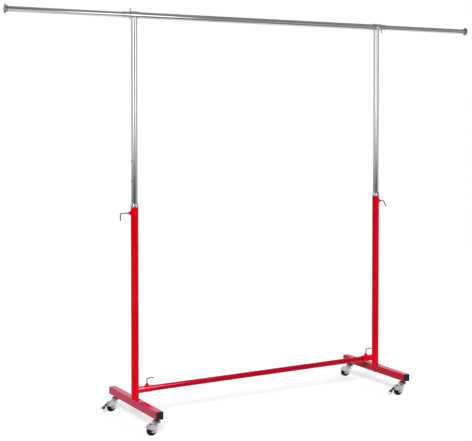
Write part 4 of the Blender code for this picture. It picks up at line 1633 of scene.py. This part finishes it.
@dataclass
class ExtensionArm(SidePart):
    """A pull-out arm with the domed cap on its end."""

    outer: float = 0.0270
    wall: float = 0.0012
    cap_diameter: float = 0.0450
    cap_thickness: float = 0.0030
    cap_dome: float = 0.0040
    ferrule_length: float = 0.0100
    ferrule_wall: float = 0.0018
    ferrule_chamfer: float = 0.0005
    ferrule_fillet: float = 0.0012
    dome_steps: int = 12

    def build(self) -> None:
        """Builds the tube and the cap."""
        body, node = self.named("extension_arm"), self.named("extension")
        sizes = (CHROME, self.outer, self.wall)
        mesh, place = self.shop.level_tube(node, self.marks.rail_z, *sizes)
        walls = [Wall(place, (self.outer / 2,))]
        self.shop.dress(self.named("extension_tube"), mesh, CHROME, body, Grain.ALONG_X, walls)
        low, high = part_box(node)
        end = (high.x if self.side is Side.RIGHT else -low.x) + FIT
        cap = self.cap_mesh()
        cap.transform(at(self.side.sign * end, 0.0, self.marks.rail_z) @ self.outwards)
        name, node = self.named("extension_disc"), self.named("extension_cap")
        # The cap takes the darkened copy of the chrome: painted shade.
        self.shop.dress(name, cap, SHADED_END_CAP_CHROME, body, node=node)

    def cap_mesh(self) -> Mesh:
        """The cap about the Z axis, its disc above the tube's end at the origin."""
        socket, low = self.outer / 2 + FIT, -self.ferrule_length
        ferrule = socket + self.ferrule_wall
        thick, half = self.cap_thickness, self.cap_thickness / 2
        edge = self.cap_diameter / 2 - half
        chamfer, fillet = self.ferrule_chamfer, self.ferrule_fillet
        profile = [(0.0, 0.0), (socket, 0.0), (socket, low), (ferrule - chamfer, low)]
        profile += [(ferrule, low + chamfer), (ferrule, -fillet)]
        profile += [(ferrule + fillet / 3, -fillet / 3), (ferrule + fillet, 0.0)]
        profile += arc((edge, half), half, half, -RIGHT_ANGLE, RIGHT_ANGLE, 8)
        for step in range(1, self.dome_steps + 1):
            share = 1 - step / self.dome_steps
            profile.append((edge * share, thick + self.cap_dome * (1 - share**2)))
        return turned(profile)


# Clamp screws ----


@dataclass
class ClampScrew:
    """An L-shaped screw: a threaded shank, a bend and an arm to turn it by."""

    shop: Workshop
    name: str
    body: str
    place: Vector
    shank: Triple
    arm: Triple
    tip: float
    reach: float
    diameter: float = 0.0064
    bend: float = 0.0060
    bend_steps: int = 12
    arm_length: float = 0.0370
    chamfer: float = 0.0008
    pitch: float = 0.00125
    thread_depth: float = 0.00045
    run_out: float = 0.0006
    plain_share: float = 0.42

    def build(self) -> None:
        """Builds the rod and the ridge of its thread."""
        radius, root = self.diameter / 2, self.diameter / 2 - self.thread_depth
        threaded = self.tip + (self.reach - self.tip) * (1 - self.plain_share)
        shank = [(self.tip, root - self.chamfer), (self.tip + self.chamfer, root)]
        shank += [(threaded, root), (threaded + self.run_out, radius)]
        stations = [(Vector((0.0, 0.0, height)), 0.0, size) for height, size in shank]
        for step in range(self.bend_steps + 1):
            angle = step / self.bend_steps * RIGHT_ANGLE
            across = self.bend * (1.0 - math.cos(angle))
            along = self.reach - self.bend + self.bend * math.sin(angle)
            stations.append((Vector((across, 0.0, along)), angle, radius))
        for before, shrink in ((0.0010, 0.0), (0.0004, 0.0002), (0.0001, 0.0005), (0.0, 0.0011)):
            end = Vector((self.arm_length - before, 0.0, self.reach))
            stations.append((end, RIGHT_ANGLE, radius - shrink))
        bar = swept_rod(stations)
        sizes = {
            "Length": threaded - self.tip - 2 * self.chamfer,
            "Pitch": self.pitch,
            "Root Radius": root,
            "Ridge": self.thread_depth,
        }
        ridge = self.shop.threads.make(self.shop.paint(SCREW_STEEL), sizes)
        ridge.transform(at(0.0, 0.0, self.tip + self.chamfer))
        mesh = merged([bar, ridge])
        mesh.transform(at(*self.place) @ axes(self.arm, self.shank))
        self.shop.dress(f"{self.name}_rod", mesh, SCREW_STEEL, self.body)


@dataclass
class ScrewSet(SidePart):
    """The three clamp screws at one end; the height screws have their own reach and tilt."""

    left_height: Pair = (0.0570, 0.0)
    right_height: Pair = (0.0360, math.radians(-35.0))
    crossbar_reach: float = 0.0363
    rail_reach: float = 0.0260

    def build(self) -> None:
        """Builds the height screw, the crossbar screw and the rail screw."""
        sign = self.side.sign
        beyond, tilt = self.left_height if self.side is Side.LEFT else self.right_height
        hanging = (0.0, math.sin(tilt), -math.cos(tilt))
        height_reach = Upright.outer / 2 + beyond
        crossbar_reach = Upright.stub_outer / 2 + self.crossbar_reach
        rail_reach = Post.tee_outer / 2 + self.rail_reach
        self.add("height", (sign, 0.0, 0.0), hanging, Post.outer, height_reach)
        self.add("crossbar", (0.0, 0.0, 1.0), (1.0, 0.0, 0.0), Crossbar.outer, crossbar_reach)
        held = ExtensionArm.outer
        self.add("rail", (0.0, -sign, 0.0), (0.0, 0.0, -sign), held, rail_reach)

    def add(self, kind: str, shank: Triple, arm: Triple, held: float, reach: float) -> None:
        """Builds one screw on its joint's axis.

        Args:
            kind: what the screw holds.
            shank: the way from its tip to its bend.
            arm: the way from its bend to its end.
            held: the diameter of the tube that its tip reaches.
            reach: how far its arm is from that tube's axis.
        """
        name, body = self.named(f"{kind}_screw"), self.named(f"{kind}_clamp")
        place = joint_place(f"{name}_turn")
        ClampScrew(self.shop, name, body, place, shank, arm, held / 2 + FIT, reach).build()


# Casters ----


@dataclass
class Caster(SidePart):
    """A swivel caster: stem, swivel cap, hooded fork, axle and wheel, with or without a brake."""

    end: End
    braked: bool
    trail: float = 0.0270
    wheel_radius: float = 0.0250
    wheel_width: float = 0.0180
    hub_radius: float = 0.0165
    hub_width: float = 0.0192
    hub_boss: float = 0.0060
    hub_dish: float = 0.0034
    hub_ribs: int = 8
    axle: float = 0.0060
    axle_head: float = 0.0096
    axle_head_height: float = 0.0022
    slot_half: float = 0.0103
    fork_half: float = 0.0125
    hood_inner: float = 0.0290
    hood_outer: float = 0.0315
    hood_start: float = math.radians(28.0)
    hood_steps: int = 44
    cheek_front: float = 0.0240
    cheek_drop: float = 0.0040
    lobe: float = 0.0150
    lobe_start: float = math.radians(235.0)
    lobe_end: float = math.radians(275.0)
    lobe_steps: int = 14
    waist: Triple = (0.0200, -0.0115, 0.0172)
    open_waist: Triple = (0.0215, -0.0065, 0.0168)
    hem: Triple = (-0.0040, -0.0385, 0.0290)
    rim_rounding: float = 0.0017
    neck: float = 0.0210
    neck_low: float = 0.0410
    neck_top: float = 0.0590
    bore_floor: float = 0.0455
    cap_diameter: float = 0.0440
    cap_under: float = 0.0593
    cap_top: float = 0.0725
    cap_crown: float = 0.0190
    cap_rim: float = 0.0018
    stem: float = 0.0080
    stem_collar: float = 0.0150
    stud: float = 0.0095
    stud_length: float = 0.0240
    pedal_out: float = 0.0270
    pedal_up: float = 0.0125
    pedal_ear: float = 0.0046
    pedal_pin: float = 0.0034

    @property
    def name(self) -> str:
        """The caster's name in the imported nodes."""
        return self.named(self.end.value)

    @property
    def swivel(self) -> Matrix:
        """From the swivel's own frame, in which the wheel trails towards -X, to its place."""
        place = joint_place(f"{self.name}_swivel_turn")
        across = joint(f"{self.name}_wheel_spin")["axis"]
        turn = math.atan2(-across[0], across[1])
        return at(place.x, place.y, 0.0) @ Matrix.Rotation(turn, 4, "Z")

    @property
    def wheel_place(self) -> Matrix:
        """From the wheel's own frame, with its axis along Z, to its place."""
        return self.swivel @ at(-self.trail, 0.0, self.wheel_radius) @ ALONG_Y

    @property
    def pedal_place(self) -> Matrix:
        """From the pedal's own frame, with its pivot at the origin, to the swivel's frame."""
        return at(-self.trail - self.pedal_out, 0.0, self.wheel_radius + self.pedal_up)

    def build(self) -> None:
        """Builds every piece of the caster."""
        self.build_stem()
        self.build_cap()
        self.build_fork()
        self.build_axle()
        self.build_hub()
        self.build_tyre()
        if self.braked:
            BrakePedal(self.shop, self).build()

    def finish_piece(self, name: str, mesh: Mesh, finish: Finish, body: str) -> None:
        """Puts one of the caster's pieces into the scene."""
        self.shop.dress(f"{self.name}_caster_{name}", mesh, finish, body)

    def build_stem(self) -> None:
        """The pin that the caster swivels on, its collar and its stud."""
        place = joint_place(f"{self.name}_swivel_turn")
        pin, collar, stud = self.stem / 2, self.stem_collar / 2, self.stud / 2
        waist, flange = collar - 0.0016, collar + 0.0010
        low, high = self.cap_top + FIT, self.marks.foot_low - FIT
        top = self.marks.foot_low + self.stud_length
        corners = [
            (0.0, self.bore_floor + FIT, 0.0),
            (pin, self.bore_floor + FIT, 0.0005),
            (pin, low, 0.0),
            (collar, low, 0.0010),
            (collar, low + 0.0030, 0.0008),
            (waist, low + 0.0032, 0.0002),
            (waist, high - 0.0014, 0.0002),
            (flange, high - 0.0013, 0.0004),
            (flange, high, 0.0002),
            (stud, high, 0.0),
            (stud, top, 0.0009),
            (0.0, top, 0.0),
        ]
        mesh = turned(softened(corners), TURNED_SIDES, at(place.x, place.y, 0.0))
        self.finish_piece("stem_pin", mesh, DARK_ZINC, "base")

    def build_cap(self) -> None:
        """The umbrella-shaped cover of the swivel bearing, with a rolled rim."""
        bore, crown = self.stem / 2 + RUNNING_FIT, self.cap_crown / 2
        rim, lip = self.cap_diameter / 2, self.cap_rim
        under, top, roll = self.cap_under, self.cap_top, self.cap_rim / 2
        brow, edge = under + 0.0006, rim - 0.0008
        profile = [(bore, under + 0.0002), (rim - 1.5 * lip, under + 0.0002)]
        profile += [(rim - lip, under - 0.0006), (rim - 0.6 * lip, under - 0.0012)]
        rolled = 0.35 * math.pi
        profile += arc((rim - roll, under - 0.0003), roll, roll, -RIGHT_ANGLE, rolled, 6)
        profile += arc((crown, brow), edge - crown, top - brow, 0.0, RIGHT_ANGLE, 14)[1:]
        profile += [(bore + 0.0006, top), (bore, top - 0.0006)]
        mesh = turned(profile, turn=self.swivel, closed=True)
        # The cap takes the darkened caster chrome: painted shade.
        self.finish_piece("cap_cover", mesh, SHADED_CASTER_CHROME, f"{self.name}_swivel")

    def hood_outline(self) -> Outline:
        """The fork's side view: an arc over the wheel, a straight front and a lobe below."""
        axle = (-self.trail, self.wheel_radius)
        end = math.pi - math.acos(self.cheek_front / self.hood_outer)
        hood, lobe = self.hood_outer, self.lobe
        points = arc(axle, -hood, hood, self.hood_start, end, self.hood_steps)
        points.append((self.cheek_front - self.trail, self.wheel_radius - self.cheek_drop))
        points += arc(axle, -lobe, lobe, self.lobe_start, self.lobe_end, self.lobe_steps)
        return points[::-1]

    def build_fork(self) -> None:
        """The pressed hood with its cheeks, neck and, where braked, its ears."""
        shell = pressed_plate(self.hood_outline(), self.fork_half, self.rim_rounding)
        axle_at = at(-self.trail, 0.0, self.wheel_radius) @ ALONG_Y
        pedal_at = self.pedal_place @ ALONG_Y
        half, low, high = self.neck / 2, self.neck_low, self.neck_top
        corners = [(0.0, low, 0.0), (half, low, 0.0), (half, high, 0.0006), (0.0, high, 0.0)]
        fused = [turned(softened(corners), TURNED_SIDES)]
        ear = 2 * self.pedal_ear
        if self.braked:
            fused.append(rod(ear, -self.fork_half, self.fork_half, FINE_ROD_SIDES, pedal_at))
        slot = self.slot_half
        cutters = [rod(2 * self.hood_inner, -slot, slot, HOOD_SIDES, axle_at)]
        for back, low, curve in (self.waist if self.braked else self.open_waist, self.hem):
            scoop_at = at(-self.trail - back, 0.0, self.wheel_radius + low) @ ALONG_Y
            cutters.append(rod(2 * curve, -THROUGH, THROUGH, SCOOP_SIDES, scoop_at))
        bore, above = self.stem + 2 * RUNNING_FIT, 4 * THROUGH
        cutters.append(rod(bore, self.bore_floor, above, FINE_ROD_SIDES))
        cutters.append(rod(self.axle + 2 * FIT, -THROUGH, THROUGH, FINE_ROD_SIDES, axle_at))
        if self.braked:
            cutters.append(rod(ear + 2 * FIT, -slot, slot, FINE_ROD_SIDES, pedal_at))
            pin = self.pedal_pin + 2 * RUNNING_FIT
            cutters.append(rod(pin, -THROUGH, THROUGH, ROD_SIDES, pedal_at))
        mesh = moved(worked(shell, cutters, fused), self.swivel)
        # The hood takes the darkened caster chrome: painted shade.
        self.finish_piece("fork_hood", mesh, SHADED_CASTER_CHROME, f"{self.name}_swivel")

    def build_axle(self) -> None:
        """The riveted axle, with a domed head at each end."""
        shank, head = self.axle / 2, self.axle_head / 2
        inner, height = self.fork_half + FIT, self.axle_head_height
        dome = arc((0.0, inner + 0.3 * height), head, 0.7 * height, 0.0, RIGHT_ANGLE, 8)
        profile = both_ends([(shank, inner), (head, inner), *dome])
        mesh = turned(profile, FINE_ROD_SIDES, self.wheel_place)
        self.finish_piece("axle_rivet", mesh, DARK_ZINC, f"{self.name}_swivel")

    def build_hub(self) -> None:
        """The moulded hub: a boss, a thin web with ribs, and the rim that carries the tyre."""
        bore, half, rim = self.axle / 2 + RUNNING_FIT, self.hub_width / 2, self.hub_radius
        web, rim_half = half - self.hub_dish, half - 0.0014
        upper = [
            (bore, half, 0.0003),
            (self.hub_boss, half, 0.0006),
            (self.hub_boss + 0.0012, web, 0.0008),
            (rim - 0.0036, web, 0.0008),
            (rim - 0.0024, rim_half, 0.0005),
            (rim, rim_half, 0.0004),
        ]
        hub = turned(softened(both_ends(upper), 3), WHEEL_SIDES, closed=True)
        sizes = {
            "Count": self.hub_ribs,
            "Ring Radius": (self.hub_boss + rim) / 2 - 0.0008,
            "Bar": (rim - self.hub_boss - 0.0022, 0.0011, 2 * web + 0.0030),
        }
        ribs = self.shop.spokes.make(self.shop.paint(HUB_NYLON), sizes)
        mesh = moved(merged([hub, ribs]), self.wheel_place)
        self.finish_piece("hub_web", mesh, HUB_NYLON, f"{self.name}_wheel")

    def build_tyre(self) -> None:
        """The rubber tyre, crowned, with a fine mould line round its middle."""
        seat, tread, half = self.hub_radius + FIT, self.wheel_radius, self.wheel_width / 2
        upper = [
            (seat, half - 0.0014, 0.0003),
            (seat + 0.0012, half - 0.0004, 0.0006),
            (tread - 0.0042, half, 0.0020),
            (tread - 0.0005, half - 0.0030, 0.0022),
            (tread - 0.0001, 0.0006, 0.0),
            (tread, 0.0002, 0.0),
        ]
        outline = softened(both_ends(upper), 5)
        tyre = turned(outline, WHEEL_SIDES, self.wheel_place, closed=True)
        self.finish_piece("tyre_tread", tyre, TYRE_RUBBER, f"{self.name}_wheel")


@dataclass
class BrakePedal:
    """The stamped lever of a brake: a bent sheet with turned-down sides and grip bars."""

    shop: Workshop
    caster: Caster
    sheet: float = 0.0018
    width: float = 0.0280
    flange: float = 0.0016
    barrel: float = 0.0054
    grip_share: float = 0.62
    stations: tuple[Triple, ...] = (
        (0.0, 0.0, 0.0190),
        (0.0060, -0.0004, 0.0190),
        (0.0115, -0.0020, 0.0192),
        (0.0165, -0.0058, 0.0236),
        (0.0215, -0.0100, 0.0280),
        (0.0255, -0.0124, 0.0280),
        (0.0290, -0.0130, 0.0280),
        (0.0315, -0.0122, 0.0270),
        (0.0330, -0.0105, 0.0255),
    )

    def build(self) -> None:
        """Builds the sheet, its barrel and pin, and the grip bars."""
        caster, radius = self.caster, self.barrel / 2
        sheet = skinned([self.section(*station) for station in self.smooth_stations()])
        half = caster.slot_half - FIT
        upper = [(radius, half - 0.0004), (radius - 0.0004, half), (0.0, half)]
        barrel = turned(both_ends(upper), FINE_ROD_SIDES, ALONG_Y)
        pin = rod(caster.pedal_pin, -caster.fork_half, caster.fork_half, ROD_SIDES, ALONG_Y)
        sizes = {
            "Count": 4,
            "Offset": (-0.0026, 0.0, -0.0008),
            "Bar Length": self.grip_share * self.width,
            "Bar Radius": 0.0007,
        }
        grips = self.shop.grips.make(self.shop.paint(PEDAL_STEEL), sizes)
        grips.transform(at(-0.0208, 0.0, -0.0100 + self.sheet / 2))
        mesh = merged([sheet, barrel, pin, grips])
        mesh.transform(caster.swivel @ caster.pedal_place)
        name, body = f"{caster.name}_brake_pedal_lever", f"{caster.name}_pedal"
        self.shop.dress(name, mesh, PEDAL_STEEL, body)

    def smooth_stations(self) -> list[Triple]:
        """The stations with points between them on a smooth curve."""
        keys = [Vector(station) for station in self.stations]
        result = [tuple(keys[0])]
        for before, start, end, after in zip(
            keys[:1] + keys, keys, keys[1:], keys[2:] + keys[-1:]
        ):
            for step in range(1, 4):
                t = step / 3
                point = 0.5 * (
                    2 * start
                    + (end - before) * t
                    + (2 * before - 5 * start + 4 * end - after) * t**2
                    + (3 * start - before - 3 * end + after) * t**3
                )
                result.append(tuple(point))
        return result

    def section(self, out: float, up: float, width: float) -> list[Vector]:
        """A section across the sheet: flat in the middle, turned down at both sides."""
        top, bottom = [], []
        for step in range(-8, 9):
            share = step / 8
            bent = max(0.0, abs(share) - 0.7) / 0.3
            middle = up - self.flange * bent**2 * (width / self.width) ** 2
            top.append(Vector((-out, share * width / 2, middle + self.sheet / 2)))
            bottom.append(Vector((-out, share * width / 2, middle - self.sheet / 2)))
        return top + bottom[::-1]


# The studio ----


@dataclass(frozen=True)
class Card:
    """A glowing card that only mirrors show: its middle, its size and its brightness."""

    name: str
    middle: Triple
    facing: Triple
    width: float
    height: float
    glow: float
    softness: float
    enamel_only: bool = False


@dataclass
class Studio:
    """The floor, the lights, the surroundings that the chrome mirrors, and the camera."""

    camera_place: Triple = (-2.952, -4.847, 1.527)
    camera_yaw: float = math.radians(29.88)
    camera_pitch: float = math.radians(1.72)
    lens: float = 82.0
    shift: Pair = (0.0009, -0.1557)
    floor_radius: float = 7.0
    floor_sides: int = 96
    cards: tuple[Card, ...] = (
        Card("left_panel", (-2.71, -1.54, 1.95), (-0.743, 0.0, 1.95), 1.7, 1.70, 1.9, 0.33),
        Card("right_panel", (0.25, -2.30, 1.95), (-0.2, 0.0, 1.95), 1.25, 1.70, 1.9, 0.33),
        Card("lamp", (0.87, -2.60, 2.98), (-0.68, 0.0, 0.16), 1.05, 0.80, 420.0, 0.45, True),
    )
    walls: tuple[Pair, ...] = (
        (0.00, 0.90), (0.10, 1.00), (0.19, 0.75), (0.27, 0.40), (0.35, 0.52), (0.45, 0.48),
        (0.54, 0.42), (0.66, 0.55), (0.75, 0.58), (0.87, 0.46), (0.95, 0.60),
    )
    lows: tuple[Pair, ...] = (
        (0.00, 0.70), (0.10, 0.80), (0.20, 0.60), (0.30, 0.36), (0.42, 0.36), (0.465, 0.26),
        (0.505, 0.03), (0.545, 0.0), (0.58, 0.05), (0.61, 0.14), (0.70, 0.22), (0.85, 0.30),
    )

    def build(self) -> None:
        """Builds everything that is not part of the rack."""
        self.build_floor()
        self.build_surroundings()
        for card in self.cards:
            self.build_card(card)
        self.add_sun("main_light", -30.0, 34.0, 2.65, 20.0)
        self.add_sun("second_light", 24.0, 36.0, 0.65, 26.0)
        self.add_sun("rear_light", 150.0, 14.0, 0.80, 50.0)
        self.build_camera()

    @staticmethod
    def floor_grey(sheet: NodeSheet) -> Socket:
        """What mirrors see of the floor: pale near the rack, dark in front of it to the right."""
        x, y, _ = sheet.split(sheet.place())
        right = sheet.ranged(sheet.math("ADD", x, sheet.times(y, 0.5)), -1.25, -0.25)
        dark = sheet.times(right, sheet.ranged(y, -0.10, -0.55))
        far = sheet.ranged(y, -1.4, -3.2)
        deep = sheet.mixed(far, (0.10, 0.10, 0.105, 1.0), (0.30, 0.30, 0.31, 1.0))
        close = sheet.ranged(sheet.math("ABSOLUTE", y), 0.85, 0.50)
        pale = sheet.mixed(close, (0.66, 0.66, 0.67, 1.0), (0.74, 0.74, 0.75, 1.0))
        return sheet.mixed(sheet.times(dark, sheet.math("SUBTRACT", 1.0, close)), pale, deep)

    def build_floor(self) -> None:
        """A plain pale floor that is nearly white by itself, so that shadows on it are faint."""
        shape = bmesh.new()
        sides, radius = self.floor_sides, self.floor_radius
        bmesh.ops.create_circle(shape, cap_ends=True, segments=sides, radius=radius)
        mesh = bpy.data.meshes.new("floor")
        shape.to_mesh(mesh)
        shape.free()
        material = bpy.data.materials.new("pale_floor")
        sheet = NodeSheet.fresh(material)
        rays = sheet.add("ShaderNodeLightPath").outputs
        matt = sheet.out("ShaderNodeBsdfDiffuse", {"Color": (0.68, 0.70, 0.70, 1.0)})
        glow = sheet.out("ShaderNodeEmission", {"Strength": 0.535})
        seen = sheet.joined("ShaderNodeAddShader", matt, glow)
        dim = sheet.out("ShaderNodeBsdfDiffuse", {"Color": (0.30, 0.30, 0.30, 1.0)})
        lit = sheet.blend(rays["Is Camera Ray"], dim, seen)
        mirrored = sheet.out("ShaderNodeEmission", {"Color": self.floor_grey(sheet)})
        shown = sheet.blend(rays["Is Glossy Ray"], lit, mirrored)
        under = sheet.out("ShaderNodeNewGeometry", output="Backfacing")
        clear = sheet.out("ShaderNodeBsdfTransparent")
        sheet.end("ShaderNodeOutputMaterial", sheet.blend(under, shown, clear))
        mesh.materials.append(material)
        placed("studio_floor", mesh)

    def build_card(self, card: Card) -> None:
        """Puts up a card whose glow fades towards its edges.

        Args:
            card: the card.
        """
        mesh = bpy.data.meshes.new(card.name)
        corners = ((0, 0), (1, 0), (1, 1), (0, 1))
        points = [((u - 0.5) * card.width, (v - 0.5) * card.height, 0.0) for u, v in corners]
        mesh.from_pydata(points, [], [(0, 1, 2, 3)])
        layer = mesh.uv_layers.new(name="UVMap")
        for place, uv in zip(layer.data, corners):
            place.uv = uv
        material = bpy.data.materials.new(card.name)
        sheet = NodeSheet.fresh(material)
        fades = []
        for axis in sheet.split(sheet.out("ShaderNodeTexCoord", output="UV"))[:2]:
            away = sheet.math("ABSOLUTE", sheet.math("SUBTRACT", axis, 0.5))
            fades.append(sheet.ranged(away, 0.5, 0.5 - card.softness))
        glow = sheet.out("ShaderNodeEmission", {"Strength": card.glow})
        clear = sheet.out("ShaderNodeBsdfTransparent")
        sheet.end("ShaderNodeOutputMaterial", sheet.blend(sheet.times(*fades), clear, glow))
        mesh.materials.append(material)
        board = placed(card.name, mesh)
        board.location = card.middle
        towards = Vector(card.facing) - Vector(card.middle)
        board.rotation_euler = towards.to_track_quat("Z", "Y").to_euler()
        board.visible_camera = False
        board.visible_diffuse = False
        board.visible_shadow = False
        board.visible_transmission = False
        if card.enamel_only:
            board.light_linking.receiver_collection = self.enamelled()

    @staticmethod
    def enamelled() -> bpy.types.Collection:
        """The enamelled pieces, which alone show the strong lamp."""
        group = bpy.data.collections.new("enamelled")
        for piece in bpy.context.scene.collection.all_objects:
            materials = getattr(piece.data, "materials", ())
            if any(material.name.startswith(RED_ENAMEL.name) for material in materials):
                group.objects.link(piece)
        return group

    def build_surroundings(self) -> None:
        """White where it is seen directly; mirrors see soft walls, a dark ceiling and dark lows."""
        world = bpy.data.worlds.new("studio")
        bpy.context.scene.world = world
        sheet = NodeSheet.fresh(world)
        x, y, z = sheet.split(sheet.out("ShaderNodeTexCoord", output="Generated"))
        turns = sheet.math("DIVIDE", sheet.math("ARCTAN2", x, y), math.tau)
        share = sheet.math("FRACT", sheet.math("ADD", turns, 1.0))
        below = sheet.ranged(z, -0.030, -0.072)
        walls, lows = (self.ramp(sheet, share, stops) for stops in (self.walls, self.lows))
        band = sheet.mixed(below, walls, lows)
        start = sheet.ranged(y, 0.10, 0.55, 0.06, 0.62)
        ceiling = sheet.ranged(sheet.math("SUBTRACT", z, start), 0.0, 0.13)
        zenith = sheet.ranged(z, 0.2, 0.95)
        roof = sheet.mixed(zenith, (0.15, 0.15, 0.155, 1.0), (0.27, 0.27, 0.28, 1.0))
        height = sheet.times(sheet.ranged(z, 0.50, 0.56), sheet.ranged(z, 0.74, 0.68))
        bearing = sheet.times(sheet.ranged(x, 0.35, 0.32), sheet.ranged(y, -0.20, -0.35))
        roof = sheet.mixed(sheet.times(height, bearing), roof, (0.02, 0.02, 0.02, 1.0))
        rays = sheet.add("ShaderNodeLightPath").outputs
        glossy, soft, plain = (
            sheet.out("ShaderNodeBackground", {"Color": colour, "Strength": strength})
            for colour, strength in (
                (sheet.mixed(ceiling, band, roof), 1.0),
                ((1, 1, 1, 1), 0.12),
                ((1, 1, 1, 1), 1.02),
            )
        )
        lit = sheet.blend(rays["Is Glossy Ray"], soft, glossy)
        sheet.end("ShaderNodeOutputWorld", sheet.blend(rays["Is Camera Ray"], lit, plain))

    @staticmethod
    def ramp(sheet: NodeSheet, share: Socket, stops: Sequence[Pair]) -> Socket:
        """The brightness at a share of the way round, from (place, brightness) stops."""
        node = sheet.add("ShaderNodeValToRGB", {"Fac": share})
        node.color_ramp.interpolation = "B_SPLINE"
        elements = node.color_ramp.elements
        elements.remove(elements[-1])
        for index, (place, bright) in enumerate(stops):
            element = elements.new(place) if index else elements[0]
            element.position = place
            element.color = (bright, bright, bright, 1.0)
        return node.outputs["Color"]

    @staticmethod
    def add_sun(name: str, across: float, up: float, strength: float, spread: float) -> None:
        """Adds a wide distant light that mirrors do not show.

        Args:
            name: the light's name.
            across: its bearing in degrees from straight ahead of the rack, to the right.
            up: its height in degrees.
            strength: its power on a square metre.
            spread: its angular width in degrees.
        """
        light = bpy.data.lights.new(name, "SUN")
        light.energy = strength
        light.angle = math.radians(spread)
        lamp = placed(name, light)
        turn, lift = math.radians(across), math.radians(up)
        flat = math.cos(lift)
        towards = Vector((flat * math.sin(turn), -flat * math.cos(turn), math.sin(lift)))
        lamp.rotation_euler = towards.to_track_quat("Z", "Y").to_euler()
        lamp.visible_glossy = False

    def build_camera(self) -> None:
        """The camera, level in roll, with its frame shifted down onto the rack."""
        data = bpy.data.cameras.new("camera")
        data.sensor_width = 36.0
        data.lens = self.lens
        data.shift_x, data.shift_y = self.shift
        data.clip_end = 300.0
        camera = placed("camera", data)
        camera.location = self.camera_place
        camera.rotation_euler = (RIGHT_ANGLE - self.camera_pitch, 0.0, -self.camera_yaw)
        bpy.context.scene.camera = camera
        bpy.context.scene.view_settings.view_transform = "Standard"


# The rack ----


@dataclass
class GarmentRack:
    """The whole rack."""

    shop: Workshop = field(default_factory=Workshop)
    marks: Landmarks = field(default_factory=Landmarks.read)

    def build(self) -> None:
        """Builds each sub-assembly in order."""
        both = (self.shop, self.marks)
        for side in Side:
            Foot(*both, side).build()
            Upright(*both, side).build()
        Crossbar(*both).build()
        for side in Side:
            Post(*both, side).build()
            ExtensionArm(*both, side).build()
        Hangrail(*both).build()
        for side in Side:
            ScrewSet(*both, side).build()
        for side in Side:
            for end in End:
                pedal = f"{side.value}_{end.value}_brake_pedal"
                Caster(*both, side, end, pedal in frame["nodes"]).build()


def main() -> None:
    """Builds the rack and its studio."""
    logging.basicConfig(level=logging.INFO, format="%(message)s")
    GarmentRack().build()
    Studio().build()


if __name__ == "__main__":
    main()
